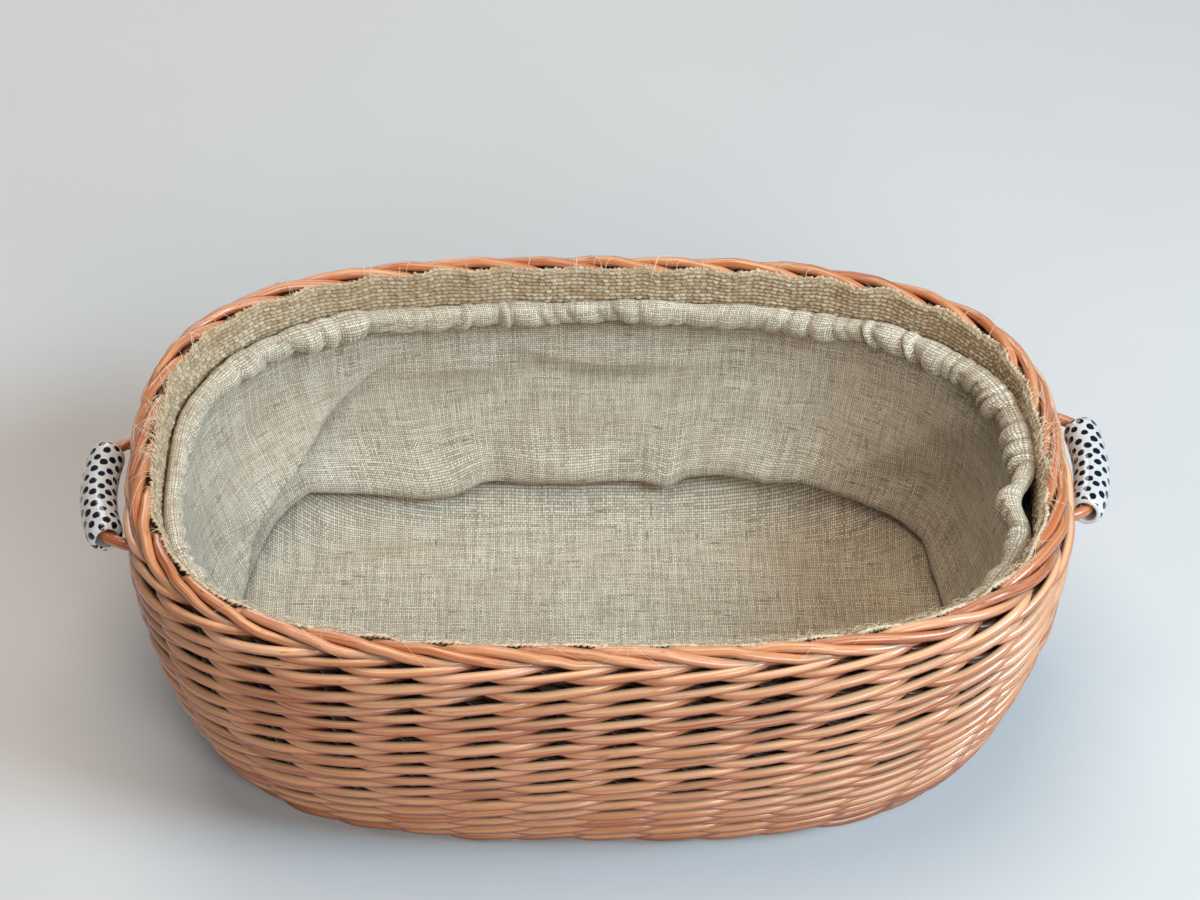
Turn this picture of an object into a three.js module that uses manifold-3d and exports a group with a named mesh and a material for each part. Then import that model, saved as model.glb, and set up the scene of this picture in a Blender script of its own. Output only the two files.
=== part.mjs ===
// Oval willow bread basket with a linen lining and two ceramic grips.
// Millimetres, +Z up, +X along the length, origin on the floor under the middle of the base.
import * as THREE from "three";
import { mergeVertices } from "three/addons/utils/BufferGeometryUtils.js";
import Module from "manifold-3d";

// Basket body: the oval that the stakes stand on at the rim, and how the wall draws in below it.
const RIM_HALF_LENGTH = 210;
const RIM_HALF_WIDTH = 133;
const OVAL_POWER = 2.93;
const HEIGHT = 155;
const BASE_DRAW_IN = 31.4;
const DRAW_IN_POWER = 2.45;

// Willow: stakes stand upright, weaving rods go round them.
const STAKE_COUNT = 36;
const STAKE_DIAMETER = 5;
const WEAVER_DIAMETER = 4.2;
const UPSETT_ROUNDS = 3;
const LOWER_ROUNDS = 6;
const UPPER_ROUNDS = 6;
const ROD_GROOVE = 2;
const ROD_SHOULDER = 1.5;
const ROD_GAP = 2.1;
const STAKE_TOE_REACH = 22;

// Base: a woven slab on pierced cross sticks with long sticks through them.
const BASE_THICKNESS = 10;
const LONG_STICK_COUNT = 3;
const LONG_STICK_DIAMETER = 4.4;
const LONG_STICK_SPACING = 26;
const CROSS_STICK_COUNT = 5;
const CROSS_STICK_DIAMETER = 7.6;
const CROSS_STICK_SPACING = 52;

// Rim band and hook-and-loop tape.
const BAND_WIDTH = 40;
const BAND_THICKNESS = 2.2;
const BAND_BELOW_TOP = 8;
const TAPE_WIDTH = 20;
const TAPE_THICKNESS = 1;
const TAPE_BELOW_TOP = 24;

// Linen lining with an elastic in its casing.
const LINEN_THICKNESS = 1;
const HEM_BELOW_TOP = 21.5;
const HEM_HEIGHT = 13;
const ELASTIC_WIDTH = 8;
const ELASTIC_THICKNESS = 2;
const STITCH_SLIT = 0.6;
const LINING_EASE = 2;

// Grips: ceramic beads bent to an arc, threaded on willow bows.
const GRIP_BELOW_TOP = 25;
const GRIP_STAND_OFF = 21.2;
const GRIP_LENGTH = 60;
const GRIP_DIAMETER = 17.3;
const GRIP_BORE = 10;
const GRIP_BEND_RADIUS = 62;
const GRIP_PAST_MIDDLE = 8.6;
const BOW_DIAMETER = 5.5;
const BOW_LEG_DEPTH = 36;

// Gaps left between pieces that touch, and inside a wale for its facets, which cut the oval's bends.
const SEAT_GAP = 0.3;
const FACET_GAP = 0.45;

// How finely round things are faceted.
const OVAL_STATIONS = 36;
const STAKE_SIDES = 5;
const BORE_SIDES = 4;
const BOW_SIDES = 6;
const STICK_SIDES = 6;
const GRIP_SIDES = 12;
const GRIP_END_STEPS = 3;
const GRIP_LENGTH_STEPS = 6;
const ARC_SAMPLES = 2880;

// Sizes that follow from the ones above.
const WALL_HALF = STAKE_DIAMETER / 2 + WEAVER_DIAMETER;
const BORDER_INSIDE = 0.8;
const BORDER_TUCK = 2;
const WALE_TOP = HEIGHT - (BORDER_TUCK + 0.5) * STAKE_DIAMETER - SEAT_GAP;
const FIRST_UPPER = UPSETT_ROUNDS + LOWER_ROUNDS;
const ROUND_COUNT = FIRST_UPPER + UPPER_ROUNDS;
const ROUND_HEIGHT = WALE_TOP / ROUND_COUNT;
const TOE_HEIGHT = BASE_THICKNESS / 2;
const BORDER_INNER = (BORDER_INSIDE + 0.5) * STAKE_DIAMETER;

const wasm = await Module();
wasm.setup();

const willow = new THREE.MeshStandardMaterial({ color: 0xc8875a, roughness: 0.55, metalness: 0 });
const jute = new THREE.MeshStandardMaterial({ color: 0xa8906a, roughness: 0.95, metalness: 0 });
const linen = new THREE.MeshStandardMaterial({ color: 0xa9a08f, roughness: 0.95, metalness: 0 });
const blackTape = new THREE.MeshStandardMaterial({ color: 0x17171a, roughness: 0.8, metalness: 0 });
const elastic = new THREE.MeshStandardMaterial({ color: 0xe4e1da, roughness: 0.8, metalness: 0 });
const glazed = new THREE.MeshStandardMaterial({ color: 0xe9e8e4, roughness: 0.12, metalness: 0 });

// A direction from the middle of the unit oval, as far as its edge.
function unitOval(angle) {
  const across = Math.abs(Math.cos(angle)) ** OVAL_POWER;
  const along = Math.abs(Math.sin(angle)) ** OVAL_POWER;
  const reach = (across + along) ** (-1 / OVAL_POWER);
  return new THREE.Vector2(reach * Math.cos(angle), reach * Math.sin(angle));
}

// A point at a distance outside the rim oval, straight above or below it.
function ovalPoint(angle, outside, z) {
  const direction = unitOval(angle);
  const x = (RIM_HALF_LENGTH + outside) * direction.x;
  const y = (RIM_HALF_WIDTH + outside) * direction.y;
  return new THREE.Vector3(x, y, z);
}

// How far the middle of the wall lies inside the rim oval at a height.
function drawIn(z) {
  const below = Math.max(0, 1 - z / HEIGHT);
  return BASE_DRAW_IN * below ** DRAW_IN_POWER;
}

// A point at a distance outside the middle of the wall.
function wallPoint(angle, outside, z) {
  return ovalPoint(angle, outside - drawIn(z), z);
}

// Length along the rim oval, and how far its direction has turned, up to each of many angles.
const rimArc = [0];
const rimTurn = [0];
{
  const points = [];
  for (let i = -1; i <= ARC_SAMPLES + 1; i++) {
    points.push(ovalPoint((2 * Math.PI * i) / ARC_SAMPLES, 0, 0));
  }
  for (let i = 1; i <= ARC_SAMPLES; i++) {
    const before = points[i].clone().sub(points[i - 1]);
    const after = points[i + 1].clone().sub(points[i]);
    rimArc.push(rimArc[i - 1] + after.length());
    rimTurn.push(rimTurn[i - 1] + before.angleTo(after));
  }
}
const RIM_LENGTH = rimArc[ARC_SAMPLES];
const STAKE_SPACING = RIM_LENGTH / STAKE_COUNT;

// The angle at which a running total reaches a value.
function angleWhere(total, value) {
  const whole = total[ARC_SAMPLES];
  const turns = Math.floor(value / whole);
  const rest = value - turns * whole;
  let i = 0;
  while (i < ARC_SAMPLES - 1 && total[i + 1] <= rest) {
    i += 1;
  }
  const share = (rest - total[i]) / (total[i + 1] - total[i]);
  return 2 * Math.PI * (turns + (i + share) / ARC_SAMPLES);
}

// The angle at a length along the rim, counted from the +X end.
function rimAngle(length) {
  return angleWhere(rimArc, length);
}

// Angles for the facets of every ring, closer together where the oval bends.
const spread = rimArc.map((length, i) => length / RIM_LENGTH + rimTurn[i] / rimTurn[ARC_SAMPLES]);
const stationAngles = [];
for (let i = 0; i < OVAL_STATIONS; i++) {
  stationAngles.push(angleWhere(spread, (spread[ARC_SAMPLES] * i) / OVAL_STATIONS));
}

// A ring round the oval: a section at each angle, a closed outline of [outside the rim oval, height].
function ringGeometry(angles, sectionAt) {
  const positions = [];
  const faces = [];
  const size = sectionAt(0).length;
  angles.forEach((angle, j) => {
    for (const [outside, z] of sectionAt(j)) {
      positions.push(...ovalPoint(angle, outside, z).toArray());
    }
  });
  for (let j = 0; j < angles.length; j++) {
    const next = (j + 1) % angles.length;
    for (let i = 0; i < size; i++) {
      const up = (i + 1) % size;
      faces.push(j * size + i, next * size + i, next * size + up);
      faces.push(j * size + i, next * size + up, j * size + up);
    }
  }
  const geometry = new THREE.BufferGeometry();
  geometry.setAttribute("position", new THREE.Float32BufferAttribute(positions, 3));
  geometry.setIndex(faces);
  return geometry;
}

// A flat oval sheet whose edge lies at a distance outside the rim oval.
function slabGeometry(outside, bottom, thickness) {
  const outline = stationAngles.map((angle) => {
    const point = ovalPoint(angle, outside, 0);
    return new THREE.Vector2(point.x, point.y);
  });
  const slab = new THREE.ExtrudeGeometry(new THREE.Shape(outline), { depth: thickness, bevelEnabled: false });
  return slab.translate(0, 0, bottom);
}

// A rod's middle line, with one ring of facets at each of its points.
class RodPath extends THREE.CatmullRomCurve3 {
  getPointAt(share, target) {
    return this.getPoint(share, target);
  }
  getTangentAt(share, target) {
    return this.getTangent(share, target);
  }
}

function rodGeometry(points, diameter, sides) {
  const corners = [];
  for (let i = 0; i < sides; i++) {
    const angle = (2 * Math.PI * i) / sides;
    corners.push(new THREE.Vector2(Math.cos(angle), Math.sin(angle)).multiplyScalar(diameter / 2));
  }
  const path = new RodPath(points, false, "centripetal");
  const options = { steps: points.length - 1, extrudePath: path, bevelEnabled: false };
  return new THREE.ExtrudeGeometry(new THREE.Shape(corners), options);
}

function solidOf(geometry) {
  const bare = geometry.clone();
  bare.deleteAttribute("normal");
  bare.deleteAttribute("uv");
  const merged = mergeVertices(bare);
  const vertProperties = new Float32Array(merged.getAttribute("position").array);
  const triVerts = new Uint32Array(merged.index.array);
  return new wasm.Manifold(new wasm.Mesh({ numProp: 3, vertProperties, triVerts }));
}

function geometryOf(solid) {
  const mesh = solid.getMesh();
  const geometry = new THREE.BufferGeometry();
  geometry.setAttribute("position", new THREE.BufferAttribute(mesh.vertProperties, 3));
  geometry.setIndex(new THREE.BufferAttribute(mesh.triVerts, 1));
  return geometry;
}

function cutBy(geometry, tools) {
  let solid = solidOf(geometry);
  for (const tool of tools) {
    solid = solid.subtract(solidOf(tool));
  }
  return geometryOf(solid);
}

const basket = new THREE.Group();

function addMesh(parent, name, geometry, material) {
  const mesh = new THREE.Mesh(geometry, material);
  mesh.name = name;
  parent.add(mesh);
}

// The border rod of a stake: over two stake spacings it crosses the rim from inside to outside.
// Each point is [share of the way, outside the wall, below the top], the last two in stake diameters.
const BORDER_COURSE = [
  [0.04, -0.6, 1.65],
  [0.14, -BORDER_INSIDE, 1.15],
  [0.3, -0.5, 0.75],
  [0.5, 0, 0.55],
  [0.75, 0.55, 0.95],
  [1, 0.95, BORDER_TUCK],
];

// A stake's middle line: its toe in the base, up the wall, over into the border.
function stakePoints(start) {
  const angle = rimAngle(start);
  const points = [
    wallPoint(angle, -WALL_HALF - SEAT_GAP - STAKE_TOE_REACH, TOE_HEIGHT),
    wallPoint(angle, 0, TOE_HEIGHT),
  ];
  for (const rounds of [UPSETT_ROUNDS, FIRST_UPPER]) {
    points.push(wallPoint(angle, 0, rounds * ROUND_HEIGHT));
  }
  points.push(wallPoint(angle, 0, WALE_TOP + STAKE_DIAMETER / 2));
  for (const [share, outside, below] of BORDER_COURSE) {
    const along = rimAngle(start + 2 * share * STAKE_SPACING);
    points.push(ovalPoint(along, outside * STAKE_DIAMETER, HEIGHT - below * STAKE_DIAMETER));
  }
  return points;
}

// A square bore for one straight stretch of a stake, run on past both ends of the stretch.
function stakeBore(from, to) {
  const overrun = to.clone().sub(from).setLength(STAKE_DIAMETER / 2 + 4 * SEAT_GAP);
  const ends = [from.clone().sub(overrun), to.clone().add(overrun)];
  const across = (STAKE_DIAMETER + 2 * SEAT_GAP) / Math.cos(Math.PI / BORE_SIDES);
  return rodGeometry(ends, across, BORE_SIDES);
}

const toeBores = [];
const upsettBores = [];
const lowerBores = [];
const upperBores = [];
for (let i = 0; i < STAKE_COUNT; i++) {
  const name = "stake_" + String(i + 1).padStart(2, "0");
  const points = stakePoints(GRIP_PAST_MIDDLE + (i + 0.5) * STAKE_SPACING);
  const [toe, foot, upsettTop, lowerTop, upperTop] = points;
  addMesh(basket, name, rodGeometry(points, STAKE_DIAMETER, STAKE_SIDES), willow);
  toeBores.push(stakeBore(toe, foot));
  upsettBores.push(stakeBore(foot, upsettTop));
  lowerBores.push(stakeBore(upsettTop, lowerTop));
  upperBores.push(stakeBore(lowerTop, upperTop));
}

// Grip and bow at the +X end. The other end is the same, turned half round.
const GRIP_HEIGHT = HEIGHT - GRIP_BELOW_TOP;
const GRIP_HALF_ANGLE = GRIP_LENGTH / 2 / GRIP_BEND_RADIUS;
const gripFoot = ovalPoint(rimAngle(GRIP_PAST_MIDDLE), 0, GRIP_HEIGHT);

// A point on the arc that the bow and the bead follow.
function gripArc(angle) {
  const out = GRIP_STAND_OFF - GRIP_BEND_RADIUS * (1 - Math.cos(angle));
  return new THREE.Vector3(gripFoot.x + out, gripFoot.y + GRIP_BEND_RADIUS * Math.sin(angle), GRIP_HEIGHT);
}

// A bow's middle line: one leg up inside the wall, out under the border, through the bead and back.
const BOW_ARC_SHARES = [-0.95, -0.65, -0.33, 0, 0.33, 0.65, 0.95];
const BOW_TURN = [
  [0, 1.7],
  [0.55, 0.5],
  [1.5, 0],
];

function bowPoints(legExtra) {
  const leg = (side) => {
    const angle = rimAngle(GRIP_PAST_MIDDLE + side * STAKE_SPACING);
    const points = [wallPoint(angle, 0, GRIP_HEIGHT - BOW_LEG_DEPTH - legExtra)];
    for (const [outside, below] of BOW_TURN) {
      points.push(wallPoint(angle, outside * BOW_DIAMETER, GRIP_HEIGHT - below * BOW_DIAMETER));
    }
    return points;
  };
  const arc = BOW_ARC_SHARES.map((share) => gripArc(share * GRIP_HALF_ANGLE));
  return [...leg(-1), ...arc, ...leg(1).reverse()];
}

// The bead, turned straight and then bent to its arc.
function gripGeometry() {
  const outline = [];
  const bore = GRIP_BORE / 2;
  const half = GRIP_LENGTH / 2;
  const crown = GRIP_DIAMETER / 2 - bore;
  for (let i = 0; i <= GRIP_END_STEPS; i++) {
    const angle = (Math.PI / 2) * (i / GRIP_END_STEPS);
    outline.push(new THREE.Vector2(bore + crown * Math.sin(angle), crown * (1 - Math.cos(angle)) - half));
  }
  const far = outline.map((point) => new THREE.Vector2(point.x, -point.y)).reverse();
  const outside = [];
  const inside = [];
  for (let i = 1; i < GRIP_LENGTH_STEPS; i++) {
    const share = (2 * i) / GRIP_LENGTH_STEPS - 1;
    outside.push(new THREE.Vector2(GRIP_DIAMETER / 2, share * (half - crown)));
    inside.push(new THREE.Vector2(bore, -share * half));
  }
  const section = [...outline, ...outside, ...far, ...inside, outline[0]];
  const bead = new THREE.LatheGeometry(section, GRIP_SIDES);
  const place = bead.getAttribute("position");
  for (let i = 0; i < place.count; i++) {
    const angle = place.getY(i) / GRIP_BEND_RADIUS;
    const reach = GRIP_BEND_RADIUS + place.getX(i);
    const out = reach * Math.cos(angle) - GRIP_BEND_RADIUS * Math.cos(GRIP_HALF_ANGLE);
    place.setXYZ(i, out, reach * Math.sin(angle), place.getZ(i));
  }
  return bead;
}

// The bead hangs down until the top of its bore rests on the bow.
const gripRise = GRIP_BEND_RADIUS * (1 - Math.cos(GRIP_HALF_ANGLE));
const gripPlay = (GRIP_BORE / 2) * Math.cos(Math.PI / GRIP_SIDES) - BOW_DIAMETER / 2 - SEAT_GAP;
const GRIP_HANG = Math.asin(gripPlay / gripRise);
const gripPivot = gripArc(GRIP_HALF_ANGLE).setY(gripFoot.y);

const bowBore = rodGeometry(bowPoints(SEAT_GAP), BOW_DIAMETER + 2 * SEAT_GAP, BOW_SIDES);
const bowBores = [bowBore, bowBore.clone().rotateZ(Math.PI)];
for (const [side, turn] of [["right", 0], ["left", Math.PI]]) {
  const end = new THREE.Group();
  end.rotation.z = turn;
  basket.add(end);
  addMesh(end, side + "_handle_bow", rodGeometry(bowPoints(0), BOW_DIAMETER, BOW_SIDES), willow);
  const hanging = new THREE.Group();
  hanging.position.copy(gripPivot);
  hanging.rotation.y = GRIP_HANG;
  end.add(hanging);
  addMesh(hanging, side + "_ceramic_grip", gripGeometry(), glazed);
}

// How deep the outside of a round of wale lies behind its rods, from its foot up in equal steps.
// At a stake two rods lie one above the other. Midway one rod stands out and two cross behind it.
const AT_STAKE = [ROD_GROOVE, 0, ROD_GROOVE, 0];
const MIDWAY = [ROD_GAP, ROD_SHOULDER, 0, ROD_SHOULDER];
const waleAngles = [];
for (let i = 1; i <= 2 * STAKE_COUNT; i++) {
  waleAngles.push(rimAngle(GRIP_PAST_MIDDLE + (i / 2) * STAKE_SPACING));
}

// A band of wale: its rods stand out as ribs that rise from stake to stake, the inside is plain.
// The first band has a ledge inside its foot, which the stake toes pass under on their way to the base.
const LEDGE_HEIGHT = TOE_HEIGHT + STAKE_DIAMETER / 2 + 2 * SEAT_GAP;
const WALE_INSIDE = FACET_GAP - WALL_HALF;

function waleGeometry(firstRound, rounds) {
  const bottom = firstRound * ROUND_HEIGHT;
  const end = firstRound + rounds;
  const top = end * ROUND_HEIGHT - (end < ROUND_COUNT ? SEAT_GAP : 0);
  const rows = rounds * AT_STAKE.length;
  return ringGeometry(waleAngles, (column) => {
    const depths = column % 2 === 0 ? AT_STAKE : MIDWAY;
    const section = [];
    const wall = (outside, z) => section.push([outside - drawIn(z), z]);
    for (let row = 0; row <= rows; row++) {
      wall(WALL_HALF - depths[row % depths.length], bottom + ((top - bottom) * row) / rows);
    }
    wall(WALE_INSIDE, top);
    if (firstRound === 0) {
      wall(WALE_INSIDE, LEDGE_HEIGHT);
      wall(0, LEDGE_HEIGHT);
      wall(0, bottom);
    } else {
      wall(WALE_INSIDE, (top + bottom) / 2);
      wall(WALE_INSIDE, bottom);
    }
    return section;
  });
}

const upsett = cutBy(waleGeometry(0, UPSETT_ROUNDS), upsettBores);
const lower = cutBy(waleGeometry(UPSETT_ROUNDS, LOWER_ROUNDS), lowerBores);
const upper = cutBy(waleGeometry(FIRST_UPPER, UPPER_ROUNDS), [...upperBores, ...bowBores]);
addMesh(basket, "upsett_wale", upsett, willow);
addMesh(basket, "side_wale_lower", lower, willow);
addMesh(basket, "side_wale_upper", upper, willow);

// Base sticks lie in channels of the woven base. The cross sticks are pierced for the long ones.
const STICK_LEVEL = BASE_THICKNESS - SEAT_GAP - CROSS_STICK_DIAMETER / 2;
const STICK_INSET = WALL_HALF + 2 * SEAT_GAP + STAKE_TOE_REACH + 2 * STAKE_DIAMETER;

// How far a straight stick can run from the middle line before it would meet the stake toes.
function stickReach(offset, halfRun, halfSide) {
  const inset = drawIn(TOE_HEIGHT) + STICK_INSET;
  const share = Math.abs(offset) / (halfSide - inset);
  return (halfRun - inset) * (1 - share ** OVAL_POWER) ** (1 / OVAL_POWER);
}

function stickGeometry(from, to, diameter) {
  return rodGeometry([from, to], diameter, STICK_SIDES);
}

// A channel open at the top of the base, as wide as a stick and its gap.
function channelGeometry(from, to, diameter) {
  const width = diameter + 2 * SEAT_GAP;
  const floor = STICK_LEVEL - width / 2;
  const run = to.clone().sub(from);
  const long = run.length() + 2 * SEAT_GAP;
  const along = run.x > run.y;
  const box = new THREE.BoxGeometry(along ? long : width, along ? width : long, BASE_THICKNESS);
  return box.translate(...from.clone().lerp(to, 0.5).setZ(floor + BASE_THICKNESS / 2).toArray());
}

const channels = [];
const longSticks = [];
const longBores = [];
for (let i = 0; i < LONG_STICK_COUNT; i++) {
  const y = (i - (LONG_STICK_COUNT - 1) / 2) * LONG_STICK_SPACING;
  const reach = stickReach(y, RIM_HALF_LENGTH, RIM_HALF_WIDTH);
  const from = new THREE.Vector3(-reach, y, STICK_LEVEL);
  const to = new THREE.Vector3(reach, y, STICK_LEVEL);
  longSticks.push(stickGeometry(from, to, LONG_STICK_DIAMETER));
  longBores.push(stickGeometry(from, to, LONG_STICK_DIAMETER + 2 * SEAT_GAP));
  channels.push(channelGeometry(from, to, LONG_STICK_DIAMETER));
}
longSticks.forEach((stick, i) => addMesh(basket, "base_long_stick_" + (i + 1), stick, willow));
for (let i = 0; i < CROSS_STICK_COUNT; i++) {
  const x = (i - (CROSS_STICK_COUNT - 1) / 2) * CROSS_STICK_SPACING;
  const reach = stickReach(x, RIM_HALF_WIDTH, RIM_HALF_LENGTH);
  const from = new THREE.Vector3(x, -reach, STICK_LEVEL);
  const to = new THREE.Vector3(x, reach, STICK_LEVEL);
  const pierced = cutBy(stickGeometry(from, to, CROSS_STICK_DIAMETER), longBores);
  addMesh(basket, "base_cross_stick_" + (i + 1), pierced, willow);
  channels.push(channelGeometry(from, to, CROSS_STICK_DIAMETER));
}
const baseEdge = -WALL_HALF - SEAT_GAP - drawIn(0);
const base = cutBy(slabGeometry(baseEdge, 0, BASE_THICKNESS), [...toeBores, ...channels]);
addMesh(basket, "base_weave", base, willow);

// A flat strip standing on edge, as a ring inside the rim.
function stripGeometry(outer, thickness, top, width) {
  const inner = outer - thickness;
  const section = [[outer, top - width], [outer, top], [inner, top], [inner, top - width]];
  return ringGeometry(stationAngles, () => section);
}

// Layers inside the rim, from the wall inwards.
const bandTop = HEIGHT - BAND_BELOW_TOP;
const bandOuter = -Math.max(WALL_HALF + drawIn(bandTop - BAND_WIDTH), BORDER_INNER) - SEAT_GAP;
const hookOuter = bandOuter - BAND_THICKNESS - SEAT_GAP;
const loopOuter = hookOuter - TAPE_THICKNESS - SEAT_GAP;
const liningOuter = loopOuter - TAPE_THICKNESS - SEAT_GAP;
const tapeTop = HEIGHT - TAPE_BELOW_TOP;
addMesh(basket, "jute_band", stripGeometry(bandOuter, BAND_THICKNESS, bandTop, BAND_WIDTH), jute);
addMesh(basket, "hook_tape", stripGeometry(hookOuter, TAPE_THICKNESS, tapeTop, TAPE_WIDTH), blackTape);
addMesh(basket, "loop_tape", stripGeometry(loopOuter, TAPE_THICKNESS, tapeTop, TAPE_WIDTH), blackTape);

// The lining hangs straight down and follows the wall where that draws in.
function liningOutside(z) {
  return Math.min(liningOuter, -drawIn(z) - WALL_HALF - LINING_EASE);
}

const basePanelBottom = BASE_THICKNESS + SEAT_GAP;
const sidePanelBottom = basePanelBottom + LINEN_THICKNESS + SEAT_GAP;
const hemTop = HEIGHT - HEM_BELOW_TOP;
const casingDepth = 2 * LINEN_THICKNESS + 2 * SEAT_GAP + ELASTIC_THICKNESS;
const LINING_STEPS = [0, 0.2, 0.5, 1];

// Side panel: its top edge is folded inwards and down to make the casing, open along the stitching.
function sidePanelGeometry() {
  const section = [];
  const levels = LINING_STEPS.map((share) => sidePanelBottom + share * (hemTop - HEM_HEIGHT - sidePanelBottom));
  for (const z of levels) {
    section.push([liningOutside(z), z]);
  }
  const hemBottom = hemTop - HEM_HEIGHT;
  const lip = liningOuter - LINEN_THICKNESS - STITCH_SLIT;
  const back = liningOuter - casingDepth;
  section.push([liningOuter, hemTop], [back, hemTop], [back, hemBottom], [lip, hemBottom]);
  section.push([lip, hemBottom + LINEN_THICKNESS], [back + LINEN_THICKNESS, hemBottom + LINEN_THICKNESS]);
  section.push([back + LINEN_THICKNESS, hemTop - LINEN_THICKNESS]);
  section.push([liningOuter - LINEN_THICKNESS, hemTop - LINEN_THICKNESS]);
  for (const z of levels.reverse()) {
    section.push([liningOutside(z) - LINEN_THICKNESS, z]);
  }
  return ringGeometry(stationAngles, () => section);
}

const elasticOuter = liningOuter - LINEN_THICKNESS - SEAT_GAP;
const elasticTop = hemTop - LINEN_THICKNESS - SEAT_GAP;
const basePanelEdge = liningOutside(basePanelBottom);
addMesh(basket, "lining_side_panel", sidePanelGeometry(), linen);
addMesh(basket, "lining_base_panel", slabGeometry(basePanelEdge, basePanelBottom, LINEN_THICKNESS), linen);
const elasticRing = stripGeometry(elasticOuter, ELASTIC_THICKNESS, elasticTop, ELASTIC_WIDTH);
addMesh(basket, "lining_hem_elastic", elasticRing, elastic);

export default basket;
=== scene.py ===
# Oval willow bread basket with a linen lining, a jute band and two ceramic grips.
# Metres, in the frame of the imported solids: +Z up, +X along the length, the origin under the base.
import math

import bpy
import numpy as np
from mathutils import Matrix, Vector


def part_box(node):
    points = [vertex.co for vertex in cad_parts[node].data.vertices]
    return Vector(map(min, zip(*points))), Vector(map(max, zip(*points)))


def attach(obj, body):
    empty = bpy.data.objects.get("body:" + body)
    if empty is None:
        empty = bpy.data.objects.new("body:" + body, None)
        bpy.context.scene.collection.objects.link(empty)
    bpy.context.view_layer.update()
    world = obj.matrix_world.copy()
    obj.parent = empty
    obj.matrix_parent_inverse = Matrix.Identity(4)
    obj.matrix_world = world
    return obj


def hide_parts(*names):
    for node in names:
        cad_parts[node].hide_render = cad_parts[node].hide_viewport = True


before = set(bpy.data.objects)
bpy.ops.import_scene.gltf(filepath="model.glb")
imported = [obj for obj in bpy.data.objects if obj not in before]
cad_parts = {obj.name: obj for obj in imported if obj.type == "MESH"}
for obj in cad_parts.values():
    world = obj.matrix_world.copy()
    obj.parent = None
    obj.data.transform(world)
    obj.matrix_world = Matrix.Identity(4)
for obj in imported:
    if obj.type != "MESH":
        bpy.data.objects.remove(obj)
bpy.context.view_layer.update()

# The view. The camera stands before a long side and looks down into the basket. Cool window light falls in
# from the right, warm light from the room and from overhead fills it, and a weak light stands behind.
CAMERA_PLACE = Vector((-0.0340, -1.1070, 1.1719))
CAMERA_DOWN = 0.746
CAMERA_TURN = -0.031
CAMERA_ROLL = 0.021
CAMERA_LENS = 98.1
LAMP_TARGET = Vector((0, 0, 0.08))
# Each lamp: where it stands, its width, its watts and its tint.
LAMPS = {
    "window_light": ((1.25, -0.6, 1.35), 0.7, 31, (0.58, 0.82, 1.0)),
    "room_light": ((0.6, -1.85, 1.25), 1.1, 25, (1.0, 0.96, 0.91)),
    "overhead_light": ((-0.1, 0.15, 2.2), 1.4, 22, (1.0, 0.85, 0.67)),
    "back_light": ((-0.5, 1.9, 1.1), 1.2, 12, (0.92, 0.96, 1.0)),
}
ROOM_TINT = (0.93, 0.96, 1.0, 1)
ROOM_STRENGTH = 0.16
FLOOR_WIDTH = 14.0

scene = bpy.context.scene
scene.view_settings.view_transform = "Standard"
bpy.ops.object.select_all(action="DESELECT")
bpy.ops.object.camera_add()
camera = bpy.context.object
camera.data.lens = CAMERA_LENS
pitched = Matrix.Rotation(CAMERA_TURN, 4, "Z") @ Matrix.Rotation(math.pi / 2 - CAMERA_DOWN, 4, "X")
camera.matrix_world = Matrix.Translation(CAMERA_PLACE) @ pitched @ Matrix.Rotation(CAMERA_ROLL, 4, "Z")
scene.camera = camera

for name, (stand, width, watts, tint) in LAMPS.items():
    bpy.ops.object.light_add(type="AREA", location=stand)
    lamp = bpy.context.object
    lamp.name = name
    lamp.data.shape = "DISK"
    lamp.data.size = width
    lamp.data.energy = watts
    lamp.data.color = tint
    lamp.rotation_euler = (LAMP_TARGET - Vector(stand)).to_track_quat("-Z", "Y").to_euler()

world = bpy.data.worlds.new("room")
scene.world = world
world.use_nodes = True
world.node_tree.nodes["Background"].inputs["Color"].default_value = ROOM_TINT
world.node_tree.nodes["Background"].inputs["Strength"].default_value = ROOM_STRENGTH

bpy.ops.mesh.primitive_plane_add(size=FLOOR_WIDTH)
floor = bpy.context.object
floor.name = "floor"


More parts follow.
